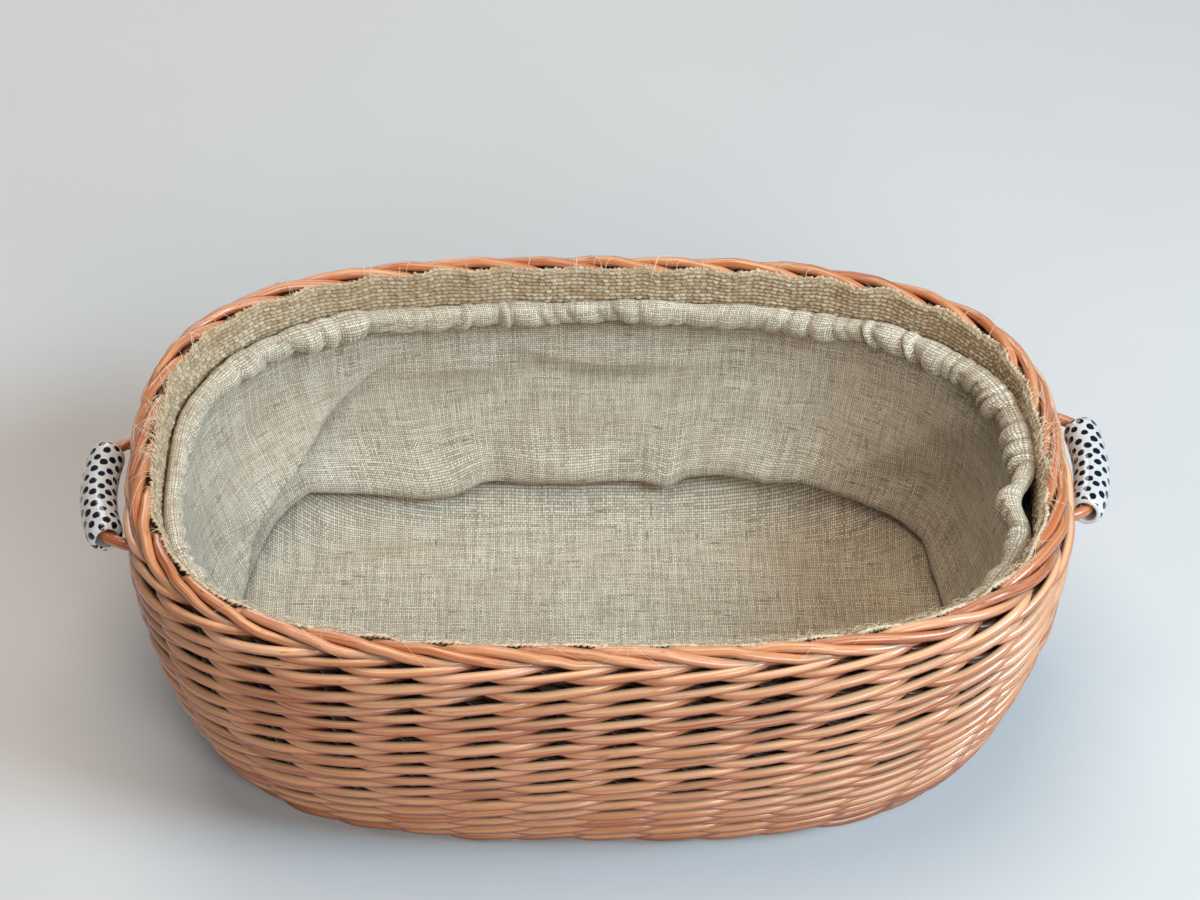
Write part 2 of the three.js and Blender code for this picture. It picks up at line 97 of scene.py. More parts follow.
class Nodes:
    """Places shader nodes and links them: a value, a colour or another node's socket feeds each input."""

    def __init__(self, tree):
        self.tree = tree

    def feed(self, socket, value):
        if isinstance(value, bpy.types.NodeSocket):
            self.tree.links.new(value, socket)
        elif value is not None:
            socket.default_value = value

    def add(self, kind, inputs=None, **settings):
        node = self.tree.nodes.new("ShaderNode" + kind)
        for name, value in settings.items():
            setattr(node, name, value)
        for name, value in (inputs or {}).items():
            self.feed(node.inputs[name], value)
        return node

    def math(self, operation, first, second=None, third=None):
        return self.add("Math", {0: first, 1: second, 2: third}, operation=operation).outputs[0]

    def times(self, first, second):
        return self.math("MULTIPLY", first, second)

    def plus(self, first, second):
        return self.math("ADD", first, second)

    def minus(self, first, second):
        return self.math("SUBTRACT", first, second)

    def vector(self, operation, first, second):
        return self.add("VectorMath", {0: first, 1: second}, operation=operation).outputs[0]

    def spot(self, x, y, z=0.0):
        return self.add("CombineXYZ", {"X": x, "Y": y, "Z": z}).outputs[0]

    def place(self):
        return self.add("TexCoord").outputs["Object"]

    def flat(self):
        return self.add("UVMap", uv_map="UVMap").outputs[0]

    def unrolled(self):
        return self.add("SeparateXYZ", {"Vector": self.flat()}).outputs

    def painted(self, name):
        return self.add("Attribute", attribute_name=name).outputs["Fac"]

    def between(self, value, low, high, to_low=0.0, to_high=1.0):
        inputs = {"Value": value, "From Min": low, "From Max": high, "To Min": to_low, "To Max": to_high}
        return self.add("MapRange", inputs, interpolation_type="SMOOTHSTEP").outputs["Result"]

    def either(self, share, first, second):
        return self.add("Mix", {0: share, 2: first, 3: second}, data_type="FLOAT").outputs[0]

    def mix(self, share, first, second, blend="MIX"):
        node = self.add("Mix", {0: share, 6: first, 7: second}, data_type="RGBA", blend_type=blend)
        return node.outputs[2]

    def noise(self, vector, scale, detail=2.0, rough=0.5):
        inputs = {"Vector": vector, "Scale": scale, "Detail": detail, "Roughness": rough}
        return self.add("TexNoise", inputs).outputs["Fac"]

    def surface(self, sockets, bump=None):
        """Feeds the Principled shader by socket name; bump is a height, its strength and its depth."""
        if bump:
            inputs = dict(zip(("Height", "Strength", "Distance"), bump))
            sockets["Normal"] = self.add("Bump", inputs).outputs[0]
        for name, value in sockets.items():
            self.feed(self.tree.nodes["Principled BSDF"].inputs[name], value)


def finish_of(name):
    """A new material and its nodes."""
    material = bpy.data.materials.new(name)
    material.use_nodes = True
    return material, Nodes(material.node_tree)


def colour(red, green, blue):
    """A colour as it looks on a screen, 0 to 255, as a shader takes it."""
    shares = [value / 255 for value in (red, green, blue)]
    return (*[s / 12.92 if s <= 0.04045 else ((s + 0.055) / 1.055) ** 2.4 for s in shares], 1.0)


FLOOR_GREY = colour(196, 195, 195)
FLOOR_PALE = colour(208, 207, 207)
material, nodes = finish_of("pale_floor")
cloudy = nodes.noise(nodes.place(), 3.0, 6.0, 0.6)
nodes.surface({"Base Color": nodes.mix(cloudy, FLOOR_GREY, FLOOR_PALE), "Roughness": 0.7})
floor.data.materials.append(material)

# The woven base: five split sticks across, three straight sticks through them, and thin peeled willow rods
# woven over and under the cross sticks. The stake toes are pushed in beside them at the edge.
RIM_HALF_LENGTH = 0.210
RIM_HALF_WIDTH = 0.133
OVAL_POWER = 2.93
BASE_MIDDLE = 0.005
BASE_EDGE = 0.0384
BASE_ROD_RADIUS = 0.00145
BASE_ROD_UNEVEN = (0.9, 1.05)
BASE_ROD_PITCH = 0.0034
BASE_ROD_STEP = 0.006
BASE_ROD_LEAST_POINTS = 8
BASE_ROD_SIDES = 8
CROSS_STICKS = 5
CROSS_STICK_SPACING = 0.052
CROSS_STICK_HALF_WIDTH = 0.0036
CROSS_STICK_FLATNESS = 0.53
CROSS_STICK_POINTS = 24
LONG_STICKS = 3
LONG_STICK_RADIUS = 0.0018
LONG_STICK_POINTS = 48
ROD_SIDES = 10
ROD_WELD = 1e-7
CUT_END_ANGLE = math.radians(50)
GRAIN_SHIFT = 3
# Tones of whole rods, from pink through tan to a deep orange.
ROD_TONES = [(0.0, (224, 152, 114)), (0.3, (218, 142, 92)), (0.55, (208, 126, 76)), (0.8, (190, 102, 54)),
             (1.0, (166, 78, 36))]
DARK_GRAIN = colour(120, 56, 24)
PALE_GRAIN = colour(236, 188, 146)
DULL_GRAIN = colour(158, 86, 46)
KNOT_SCAR = colour(158, 84, 48)
KNOT_HEART = colour(74, 34, 20)
NICK_BROWN = colour(92, 40, 20)
# Painted shade for the undersides of rods and between them, and a painted highlight for their tops.
PAINTED_UNDERSIDE_SHADE = colour(142, 58, 22)
PAINTED_TOP_HIGHLIGHT = colour(255, 210, 166)
PAINTED_CREVICE_SHADE = colour(30, 11, 5)

CHANCE_SEED = 11
chance = np.random.default_rng(CHANCE_SEED)


def read(items, name, width):
    """One property of many mesh items, a row for each."""
    values = np.empty(width * len(items))
    items.foreach_get(name, values)
    return values.reshape(-1, width)


def paint(mesh, name, values):
    mesh.attributes.new(name, "FLOAT", "POINT").data.foreach_set("value", values)


def walk(points):
    """The length walked along a line at each of its points."""
    return np.concatenate([[0], np.cumsum(np.linalg.norm(np.diff(points, axis=0), axis=1))])


def empty_curve(sides):
    """A new curve to sweep rods or fibres along."""
    bpy.ops.object.select_all(action="DESELECT")
    bpy.ops.curve.primitive_nurbs_path_add()
    curve = bpy.context.object.data
    curve.splines.clear()
    curve.bevel_depth = 1.0
    curve.bevel_resolution = sides // 2 - 2
    return curve


def add_spline(curve, points, radii):
    spline = curve.splines.new("POLY")
    spline.points.add(len(points) - 1)
    spline.points.foreach_set("co", np.c_[points, np.ones(len(points))].ravel())
    spline.points.foreach_set("radius", np.broadcast_to(radii, len(points)).astype(float))


def willow_rod(points, radii, tone, sides=ROD_SIDES):
    """A rod swept along points. Its UV map has the way round across and the way along, in metres, up."""
    curve = empty_curve(sides)
    add_spline(curve, points, radii)
    curve.use_fill_caps = True
    bpy.ops.object.convert(target="MESH")
    mesh = bpy.context.object.data
    layer = mesh.uv_layers[0].data
    along, around = read(layer, "uv", 2).T
    last = len(points) - 1
    metres = np.interp(along * last, np.arange(last + 1), walk(points)) + GRAIN_SHIFT * tone
    layer.foreach_set("uv", np.c_[around, metres].ravel())
    paint(mesh, "tone", np.full(len(mesh.vertices), tone))
    return bpy.context.object


def mend(weld=None, flip=False):
    """Welds points nearer than weld, and turns the faces outwards, or else all of them over."""
    bpy.ops.object.mode_set(mode="EDIT")
    bpy.ops.mesh.select_all(action="SELECT")
    if weld:
        bpy.ops.mesh.remove_doubles(threshold=weld)
    if flip:
        bpy.ops.mesh.flip_normals()
    else:
        bpy.ops.mesh.normals_make_consistent(inside=False)
    bpy.ops.object.mode_set(mode="OBJECT")


def joined(name, rods):
    """One piece of several rods, with the cut ends closed and the skin smooth."""
    bpy.ops.object.select_all(action="DESELECT")
    for rod in rods:
        rod.select_set(True)
    bpy.context.view_layer.objects.active = rods[0]
    if len(rods) > 1:
        bpy.ops.object.join()
    piece = bpy.context.object
    piece.name = name
    mend(ROD_WELD)
    bpy.ops.object.shade_smooth_by_angle(angle=CUT_END_ANGLE)
    return piece


def varying_group(name, sockets):
    """A node group that gives out colours and values, its nodes and its outlet."""
    tree = bpy.data.node_groups.new(name, "ShaderNodeTree")
    for socket, kind in sockets.items():
        tree.interface.new_socket(socket, in_out="OUTPUT", socket_type="NodeSocket" + kind)
    return tree, Nodes(tree), tree.nodes.new("NodeGroupOutput").inputs


def willow_skin():
    """Group: the skin of a peeled rod, from its UV map and its tone."""
    sockets = {"Color": "Color", "Roughness": "Float", "Height": "Float"}
    tree, nodes, outlet = varying_group("willow_skin", sockets)
    unrolled = nodes.unrolled()
    turn, along = nodes.times(unrolled["X"], 2 * math.pi), unrolled["Y"]
    cosine, sine = nodes.math("COSINE", turn), nodes.math("SINE", turn)

    def skin_place(across, lengthwise):
        x, y, z = nodes.times(cosine, across), nodes.times(sine, across), nodes.times(along, lengthwise)
        return nodes.spot(x, y, z)

    ramp = nodes.add("ValToRGB", {"Fac": nodes.painted("tone")})
    stops = ramp.color_ramp.elements
    for position, _ in ROD_TONES[1:-1]:
        stops.new(position)
    for stop, (_, tint) in zip(stops, ROD_TONES):
        stop.color = colour(*tint)
    body = ramp.outputs["Color"]

    # Long streaks of the grain, and dull stretches along the rod.
    streak = nodes.noise(skin_place(2.6, 20.0), 1.0, 4.0, 0.65)
    dark, pale = nodes.mix(0.16, body, DARK_GRAIN), nodes.mix(0.5, body, PALE_GRAIN)
    body = nodes.mix(nodes.between(streak, 0.38, 0.66), dark, pale)
    cloud = nodes.noise(skin_place(0.7, 34.0), 1.0, 3.0, 0.6)
    body = nodes.mix(nodes.between(cloud, 0.55, 0.85), body, nodes.mix(0.5, body, DULL_GRAIN))

    # Knots: small brown scars, here and there, each with a darker heart.
    inputs = {"Vector": skin_place(0.42, 42.0), "Scale": 1.0, "Randomness": 1.0}
    knots = nodes.add("TexVoronoi", inputs).outputs
    few = nodes.math("GREATER_THAN", nodes.add("SeparateColor", {"Color": knots["Color"]}).outputs[0], 0.72)
    scar = nodes.times(few, nodes.between(knots["Distance"], 0.17, 0.06))
    heart = nodes.times(few, nodes.between(knots["Distance"], 0.075, 0.03))
    body = nodes.mix(nodes.times(scar, 0.7), body, KNOT_SCAR)
    body = nodes.mix(nodes.times(heart, 0.85), body, KNOT_HEART)

    # Short dark nicks where side shoots were rubbed off.
    nick = nodes.noise(skin_place(3.4, 150.0), 1.0, 2.0, 0.5)
    patch = nodes.noise(skin_place(0.6, 21.0), 1.0, 1.0, 0.5)
    nick = nodes.times(nodes.between(nick, 0.62, 0.70), nodes.between(patch, 0.54, 0.62))
    body = nodes.mix(nodes.times(nick, 0.85), body, NICK_BROWN)

    # Painted shade on the undersides, a painted highlight on top, and painted shade between the rods.
    upward = nodes.painted("upward")
    body = nodes.mix(nodes.between(upward, 0.50, -0.40, 0, 0.80), body, PAINTED_UNDERSIDE_SHADE)
    body = nodes.mix(nodes.between(upward, 0.45, 0.95, 0, 0.50), body, PAINTED_TOP_HIGHLIGHT)
    body = nodes.mix(nodes.times(nodes.painted("crevice_shade"), 0.97), body, PAINTED_CREVICE_SHADE)

    height = nodes.plus(nodes.times(streak, 0.5), nodes.times(scar, 0.7))
    nodes.feed(outlet["Color"], body)
    nodes.feed(outlet["Roughness"], nodes.between(cloud, 0.3, 0.8, 0.27, 0.38))
    nodes.feed(outlet["Height"], nodes.minus(height, nodes.times(nick, 0.4)))
    return tree


willow_finish, nodes = finish_of("peeled_willow")
skin = nodes.add("Group", node_tree=willow_skin()).outputs
nodes.surface({"Base Color": skin["Color"], "Roughness": skin["Roughness"], "Specular IOR Level": 0.5,
               "Coat Weight": 0.55, "Coat Roughness": 0.17}, bump=(skin["Height"], 0.4, 0.0004))


def willow_piece(piece, *nodes_stood_for):
    piece.data.materials.clear()
    piece.data.materials.append(willow_finish)
    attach(piece, "basket")
    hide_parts(*nodes_stood_for)


for i in range(1, CROSS_STICKS + 1):
    node = f"base_cross_stick_{i}"
    low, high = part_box(node)
    line = np.array([(low.x / 2 + high.x / 2, y, 0) for y in np.linspace(low.y, high.y, CROSS_STICK_POINTS)])
    stick = joined(f"cross_stick_{i}", [willow_rod(line, CROSS_STICK_HALF_WIDTH, chance.random())])
    split = Matrix.Diagonal((1, 1, CROSS_STICK_FLATNESS, 1))
    stick.data.transform(Matrix.Translation((0, 0, BASE_MIDDLE)) @ split)
    willow_piece(stick, node)
for i in range(1, LONG_STICKS + 1):
    node = f"base_long_stick_{i}"
    low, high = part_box(node)
    middle = low.y / 2 + high.y / 2
    line = np.array([(x, middle, BASE_MIDDLE) for x in np.linspace(low.x, high.x, LONG_STICK_POINTS)])
    willow_piece(joined(f"long_stick_{i}", [willow_rod(line, LONG_STICK_RADIUS, chance.random())]), node)

base_length, base_width = RIM_HALF_LENGTH - BASE_EDGE, RIM_HALF_WIDTH - BASE_EDGE
base_wave = CROSS_STICK_HALF_WIDTH * CROSS_STICK_FLATNESS + BASE_ROD_RADIUS
base_rods = []
base_rows = np.arange(-base_width + BASE_ROD_PITCH, base_width - BASE_ROD_PITCH / 2, BASE_ROD_PITCH)
for row, y in enumerate(base_rows):
    reach = base_length * (1 - (abs(y) / base_width) ** OVAL_POWER) ** (1 / OVAL_POWER)
    x = np.linspace(-reach, reach, max(BASE_ROD_LEAST_POINTS, int(2 * reach / BASE_ROD_STEP)))
    z = BASE_MIDDLE + (-1) ** row * base_wave * np.cos(math.pi * x / CROSS_STICK_SPACING)
    line = np.stack([x, y + 0 * x, z], axis=-1)
    radius = BASE_ROD_RADIUS * chance.uniform(*BASE_ROD_UNEVEN)
    base_rods.append(willow_rod(line, radius, chance.random(), BASE_ROD_SIDES))
willow_piece(joined("base_weaving", base_rods), "base_weave")

# Side stakes: 36 willow rods. Each is pricked into the base, turns up inside the wall, kinks inwards
# at the top and is laid down to the right, over the next two, to make the border of the rim.
HEIGHT = 0.155
BASE_DRAW_IN = 0.0314
DRAW_IN_POWER = 2.45
ARC_SAMPLES = 2880
STAKE_COUNT = 36
STAKE_RADIUS = 0.0025
GRIP_PAST_MIDDLE = 0.0086
COURSE_STEPS = 5
FAR_TONE = 0.35
BORDER_BUTT_RADIUS = 0.0029
BORDER_TIP_RADIUS = 0.0022
BORDER_UNEVEN = (0.94, 1.06)
BORDER_SWAY = 0.0002
# The stake's course up the wall: how far outside the wall's middle, and how high.
STAKE_COURSE = [
    (-0.0290, BASE_MIDDLE), (-0.0080, BASE_MIDDLE), (0, BASE_MIDDLE + 0.004), (0, 0.0240), (0, 0.0469),
    (0, 0.0698), (0, 0.0927), (0, 0.1156), (0, 0.1385), (-0.0008, 0.1425),
]
# The border's course: how far along in stake spacings, outside the rim oval, below the top.
BORDER_COURSE = [
    (0.02, -0.0024, 0.0104), (0.06, -0.0040, 0.0086), (0.13, -0.0044, 0.0075), (0.30, -0.0036, 0.0061),
    (0.60, -0.0022, 0.0044), (0.90, -0.0006, 0.0037), (1.10, 0.0005, 0.0041), (1.35, 0.0016, 0.0052),
    (1.60, 0.0023, 0.0064), (1.85, 0.0025, 0.0076), (2.10, 0.0021, 0.0084), (2.35, 0.0012, 0.0088),
    (2.60, 0.0000, 0.0088), (2.85, -0.0014, 0.0087), (3.05, -0.0024, 0.0088),
]
# Painted shade between rods: full this near the wall's middle, gone this far from it, and up to what height.
# Then how the undersides take painted shade, and how much of the painted light and shade the border keeps.
TUCKED = 0.0012
EXPOSED = 0.0056
TUCKED_TOP = 0.150
UNDERSIDE = 0.62
UNDERSIDE_START = 0.2
UNDERSIDE_SHADE = 0.75
BORDER_SHADING = 0.4


def oval_point(angle, outside, z):
    """Points at a distance outside the rim oval, straight above or below it."""
    reach = np.abs(np.cos(angle)) ** OVAL_POWER + np.abs(np.sin(angle)) ** OVAL_POWER
    reach = reach ** (-1 / OVAL_POWER)
    x = (RIM_HALF_LENGTH + outside) * reach * np.cos(angle)
    y = (RIM_HALF_WIDTH + outside) * reach * np.sin(angle)
    return np.stack([x, y, z + 0 * x], axis=-1)


def draw_in(z):
    """How far the middle of the wall lies inside the rim oval at a height."""
    return BASE_DRAW_IN * np.maximum(0, 1 - z / HEIGHT) ** DRAW_IN_POWER


arc_angles = np.linspace(0, 2 * math.pi, ARC_SAMPLES + 1)
arc_lengths = walk(oval_point(arc_angles, 0, 0))
RIM_LENGTH = arc_lengths[-1]
STAKE_SPACING = RIM_LENGTH / STAKE_COUNT


def rim_point(length, outside, z):
    """Points by their length along the rim, counted from the +X end."""
    turns = np.floor(length / RIM_LENGTH)
    angle = np.interp(length - turns * RIM_LENGTH, arc_lengths, arc_angles)
    return oval_point(angle, outside, z)


def wall_point(length, outside, z):
    """Points at a distance outside the middle of the wall."""
    return rim_point(length, outside - draw_in(z), z)


def stake_start(i):
    return GRIP_PAST_MIDDLE + (i + 0.5) * STAKE_SPACING


def smooth_line(points, steps):
    """A smooth line through the points, with so many steps between each two."""
    points = np.asarray(points, float)
    before = np.vstack([2 * points[0] - points[1], points, 2 * points[-1] - points[-2]])
    share = np.linspace(0, 1, steps, endpoint=False)[:, None]
    line = []
    for p0, p1, p2, p3 in zip(before, before[1:], before[2:], before[3:]):
        bend = 2 * p0 - 5 * p1 + 4 * p2 - p3
        twist = 3 * p1 - p0 - 3 * p2 + p3
        line.append(p1 + 0.5 * share * (p2 - p0 + share * (bend + share * twist)))
    return np.vstack([*line, points[-1:]])


def paint_light_and_shade(piece):
    """Marks how deep each point lies in the wall, and how far it faces up, for painted shade and highlight.
    """
    mesh = piece.data
    x, y, z = np.abs(read(mesh.vertices, "co", 3)).T
    half, wide, power = RIM_HALF_LENGTH, RIM_HALF_WIDTH, OVAL_POWER
    across = ((x / half) ** power + (y / wide) ** power) ** (1 / power)
    slope = np.hypot(x ** (power - 1) / half ** power, y ** (power - 1) / wide ** power)
    from_middle = np.abs((across - 1) / (slope * across ** (1 - power)) + draw_in(z))
    crevice_shade = np.clip(1 - (from_middle - TUCKED) / (EXPOSED - TUCKED), 0, 1)
    upward = read(mesh.vertex_normals, "vector", 3)[:, 2]
    underside = UNDERSIDE_SHADE * np.clip(-upward / UNDERSIDE - UNDERSIDE_START, 0, 1)
    below_border = np.clip((TUCKED_TOP - z) / TUCKED, 0, 1)
    paint(mesh, "crevice_shade", np.maximum(crevice_shade, underside) * below_border)
    paint(mesh, "upward", upward * (BORDER_SHADING + (1 - BORDER_SHADING) * below_border))


for i in range(STAKE_COUNT):
    start = stake_start(i)
    course = [wall_point(start, outside, z) for outside, z in STAKE_COURSE]
    for along, outside, below in BORDER_COURSE:
        sway = chance.normal(0, BORDER_SWAY, 2)
        course.append(rim_point(start + along * STAKE_SPACING, outside + sway[0], HEIGHT - below + sway[1]))
    line = smooth_line(course, COURSE_STEPS)
    bend = COURSE_STEPS * len(STAKE_COURSE)
    radii = np.full(len(line), STAKE_RADIUS)
    laid = np.linspace(BORDER_BUTT_RADIUS, BORDER_TIP_RADIUS, len(line) - bend)
    radii[bend:] = laid * chance.uniform(*BORDER_UNEVEN)
    tone = chance.random()
    if i < STAKE_COUNT // 2:
        tone = FAR_TONE + (1 - FAR_TONE) * tone
    stake = joined(f"side_stake_{i + 1:02d}", [willow_rod(line, radii, tone)])
    paint_light_and_shade(stake)
    willow_piece(stake, f"stake_{i + 1:02d}")

# The wall: fifteen rounds of three-rod wale in peeled willow. Each rod passes before two stakes and behind
# one, and rises as it goes, so three rods together lie round the stakes like a rope.
ROUND_COUNT = 15
ROUND_HEIGHT = 0.00948
TOP_STRETCH = 0.0048
ROUND_WANDER = 0.0010
WANDER_WAVES = (2, 3, 5, 8)
WANDER_START = 6.28
WEAVE_SAMPLES = 721
WEAVER_RADIUS = 0.00232
WEAVER_UNEVEN = (0.86, 1.12)
WEAVER_TAPER = 0.13
WEAVER_END = 0.3
WEAVER_RISE = 0.289
# How far the rods stray from their course: along the wall, out and up.
WEAVER_STRAY = (0.0016, 0.00026, 0.00048)
# A rod's way in and out of the stakes: its mean, and its first and second wave.
WEAVER_OUT = (1 / 3, 13 / 12, 1 / 4)
STRANDS = 3
RODS_PER_ROUND = 2
ROUND_STAGGER = 5
STRAND_STAGGER = 2
STEPS_PER_STAKE = 8
WALES = [("upsett_wale", 0, 3), ("side_wale_lower", 3, 9), ("side_wale_upper", 9, 15)]


def rim_wave(length, count, start):
    """A wave with so many crests round the rim."""
    return np.sin(2 * math.pi * count * length / RIM_LENGTH + start)


def wander(length, amount):
    """A slow unevenness along the rim."""
    starts = [chance.uniform(0, WANDER_START) for _ in WANDER_WAVES]
    return amount * sum(rim_wave(length, n, start) / math.sqrt(n) for n, start in zip(WANDER_WAVES, starts))


weave_lengths = np.linspace(0, RIM_LENGTH, WEAVE_SAMPLES)
seams = [k * ROUND_HEIGHT + TOP_STRETCH * (k / ROUND_COUNT) ** 3
         + wander(weave_lengths, ROUND_WANDER if 0 < k < ROUND_COUNT else 0) for k in range(ROUND_COUNT + 1)]


def weaver(round_index, strand, half):
    """One rod of a round: its middle line and its radii, from butt to tip."""
    stakes = STAKE_COUNT // RODS_PER_ROUND
    stagger = (round_index * ROUND_STAGGER + strand * STRAND_STAGGER) % (STAKE_COUNT // STRANDS)
    first = STRANDS * (half * stakes // STRANDS + stagger)
    steps = int((stakes + 2 * WEAVER_END) * STEPS_PER_STAKE)
    passed = np.linspace(-WEAVER_END, stakes + WEAVER_END, steps)
    phase = 2 * math.pi * passed / STRANDS
    bulge = 0.5 * (1 - np.cos(phase))
    crossing = np.clip((passed / STRANDS).astype(int), 0, stakes // STRANDS)
    along, out, up = chance.normal(0, 1, (3, stakes // STRANDS + 1))[:, crossing] * bulge
    radius = WEAVER_RADIUS * chance.uniform(*WEAVER_UNEVEN)
    radii = radius * np.linspace(1 + WEAVER_TAPER / 2, 1 - WEAVER_TAPER / 2, steps)
    length = stake_start(strand + first + passed) + WEAVER_STRAY[0] * along
    mean, once, twice = WEAVER_OUT
    outside = (STAKE_RADIUS + radius) * (mean - once * np.cos(phase) - twice * np.cos(2 * phase))
    low, high = (np.interp(length % RIM_LENGTH, weave_lengths, seams[round_index + k]) for k in (0, 1))
    z = (low + high) / 2 - WEAVER_RISE * (high - low) * np.sin(phase) + WEAVER_STRAY[2] * up
    return wall_point(length, outside + WEAVER_STRAY[1] * out, np.maximum(z, radii)), radii


for name, first_round, end_round in WALES:
    rods = []
    for round_index in range(first_round, end_round):
        for strand in range(STRANDS):
            for half in range(RODS_PER_ROUND):
                rods.append(willow_rod(*weaver(round_index, strand, half), chance.random()))
    wale = joined(name + "_weave", rods)
    paint_light_and_shade(wale)
    willow_piece(wale, name)

# Handle bows: a willow rod at each end of the basket. Both ends are pushed down into the wall
# beside the stakes, and the rod stands out between them, bent round through the grip.
BOW_RADIUS = 0.00275
BOW_SIDES = 14
BOW_BEND_RADIUS = 0.095
BOW_STAND_OFF = 0.0212
BOW_LEVEL = 0.130
BOW_HALF_ANGLE = 0.30
BOW_ARC_POINTS = 9
BOW_STEPS = 6
BOW_TURNS = {"right": math.radians(-4), "left": math.radians(4)}
# Each leg from below: how far outside the wall, and how high.
BOW_LEG = [(0.0, 0.094), (0.0, 0.1207), (0.0030, 0.1273), (0.0083, 0.1300)]

bow_foot = rim_point(GRIP_PAST_MIDDLE, 0, BOW_LEVEL)
bow_centre = bow_foot[0] + BOW_STAND_OFF - BOW_BEND_RADIUS
HALF_TURN = Matrix.Rotation(math.pi, 4, "Z")


def bow_turned(side):
    """The bow's arc isn't quite square to the wall: it is turned a little about the wall's middle line."""
    foot = Matrix.Translation(Vector(bow_foot))
    return foot @ Matrix.Rotation(BOW_TURNS[side], 4, "Z") @ foot.inverted()


def bow_arc(angle):
    x, y = bow_centre + BOW_BEND_RADIUS * math.cos(angle), bow_foot[1] + BOW_BEND_RADIUS * math.sin(angle)
    return Vector((x, y, BOW_LEVEL))


near_leg = [wall_point(GRIP_PAST_MIDDLE - STAKE_SPACING, outside, z) for outside, z in BOW_LEG]
far_leg = [wall_point(GRIP_PAST_MIDDLE + STAKE_SPACING, outside, z) for outside, z in BOW_LEG]
bow_angles = np.linspace(-BOW_HALF_ANGLE, BOW_HALF_ANGLE, BOW_ARC_POINTS)
for side in ("right", "left"):
    arc = [bow_turned(side) @ bow_arc(angle) for angle in bow_angles]
    course = smooth_line([*near_leg, *arc, *far_leg[::-1]], BOW_STEPS)
    bow = joined(f"{side}_bow", [willow_rod(course, BOW_RADIUS, chance.random(), BOW_SIDES)])
    if side == "left":
        bow.data.transform(HALF_TURN)
    willow_piece(bow, f"{side}_handle_bow")

# Grips: bent ceramic beads, white with hand-set dark blue dots under a clear glaze.
# Each is threaded loose on its bow, so it hangs a little outwards from it.
GRIP_HALF_LENGTH = 0.030
GRIP_RADIUS = 0.00865
GRIP_BORE_RADIUS = 0.005
GRIP_SHOULDER = 0.0060
GRIP_MOUTH = 0.0008
GRIP_HANG = math.radians(14.48)
GRIP_PIVOT = Vector((0.22406, 0.0086, 0.13))
GRIP_SIDES = 72
GRIP_ROUND_POINTS = 7
GRIP_BELLY_POINTS = 18
GRIP_BORE_POINTS = 6
DOT_COLUMNS = 14
DOT_PITCH = 0.0080
DOT_RADIUS = 0.0019
DOT_EDGE = 0.00012
DOT_BRUSH = 0.0006
DOTS_PAST_END = 0.001
GLAZE_WHITE = colour(210, 209, 207)
GLAZE_GREY = colour(201, 200, 199)
INK_BLACK = colour(5, 6, 15)
INK_BLUE = colour(13, 15, 42)


def grip_profile():
    """Half lengths and radii once round the bead's section, from the middle of the bore."""
    turn = np.linspace(0, math.pi / 2, GRIP_ROUND_POINTS)
    end, edge = GRIP_HALF_LENGTH, GRIP_BORE_RADIUS + GRIP_MOUTH
    lip = [(end - GRIP_MOUTH * (1 - math.sin(t)), GRIP_BORE_RADIUS + GRIP_MOUTH * (1 - math.cos(t)))
           for t in turn]
    shoulder = [(end - GRIP_SHOULDER * (1 - math.cos(t)), edge + (GRIP_RADIUS - edge) * math.sin(t))
                for t in turn[1:]]
    reach = end - GRIP_SHOULDER
    belly = [(x, GRIP_RADIUS) for x in np.linspace(reach, -reach, GRIP_BELLY_POINTS)[1:-1]]
    bore = [(x, GRIP_BORE_RADIUS) for x in np.linspace(0, end - GRIP_MOUTH, GRIP_BORE_POINTS)[:-1]]
    near = [(-x, r) for x, r in shoulder[::-1] + lip[::-1] + bore[:0:-1]]
    return np.array(bore + lip + shoulder + belly + near)


def corners_of(mesh):
    """The vertex at each corner of each face."""
    corners = np.empty(len(mesh.loops), int)
    mesh.loops.foreach_get("vertex_index", corners)
    return corners


profile = grip_profile()
ring = len(profile)
bpy.ops.object.select_all(action="DESELECT")
bpy.ops.mesh.primitive_torus_add(major_segments=GRIP_SIDES, minor_segments=ring, generate_uvs=True)
right_grip = bpy.context.object
mesh = right_grip.data
place_round, place_along = np.divmod(np.arange(GRIP_SIDES * ring), ring)
turn = 2 * math.pi * place_round / GRIP_SIDES
lengthwise, radius = profile[place_along].T
bend = lengthwise / BOW_BEND_RADIUS
reach = BOW_BEND_RADIUS + radius * np.cos(turn)
bead = np.stack([bow_centre + reach * np.cos(bend), bow_foot[1] + reach * np.sin(bend),
                 BOW_LEVEL + radius * np.sin(turn)], axis=-1)
mesh.vertices.foreach_set("co", bead.ravel())
hang = Matrix.Translation(GRIP_PIVOT) @ Matrix.Rotation(GRIP_HANG, 4, "Y") @ Matrix.Translation(-GRIP_PIVOT)
mesh.transform(hang)
walked = walk(profile)
once_round = walked[-1] + np.linalg.norm(profile[0] - profile[-1])
faces = corners_of(mesh).reshape(-1, 4)
around, along = turn[faces] / (2 * math.pi), walked[place_along][faces]
around += (around < 0.5) & (np.ptp(around, axis=1, keepdims=True) > 0.5)
along += once_round * ((along < once_round / 2) & (np.ptp(along, axis=1, keepdims=True) > once_round / 2))
mesh.uv_layers[0].data.foreach_set("uv", np.stack([around, along], axis=-1).ravel())
mend()
bpy.ops.object.shade_smooth()
right_grip.name = "right_grip_bead"
bpy.ops.object.duplicate()
left_grip = bpy.context.object
left_grip.name = "left_grip_bead"
right_grip.data.transform(bow_turned("right"))
left_grip.data.transform(HALF_TURN @ bow_turned("left"))

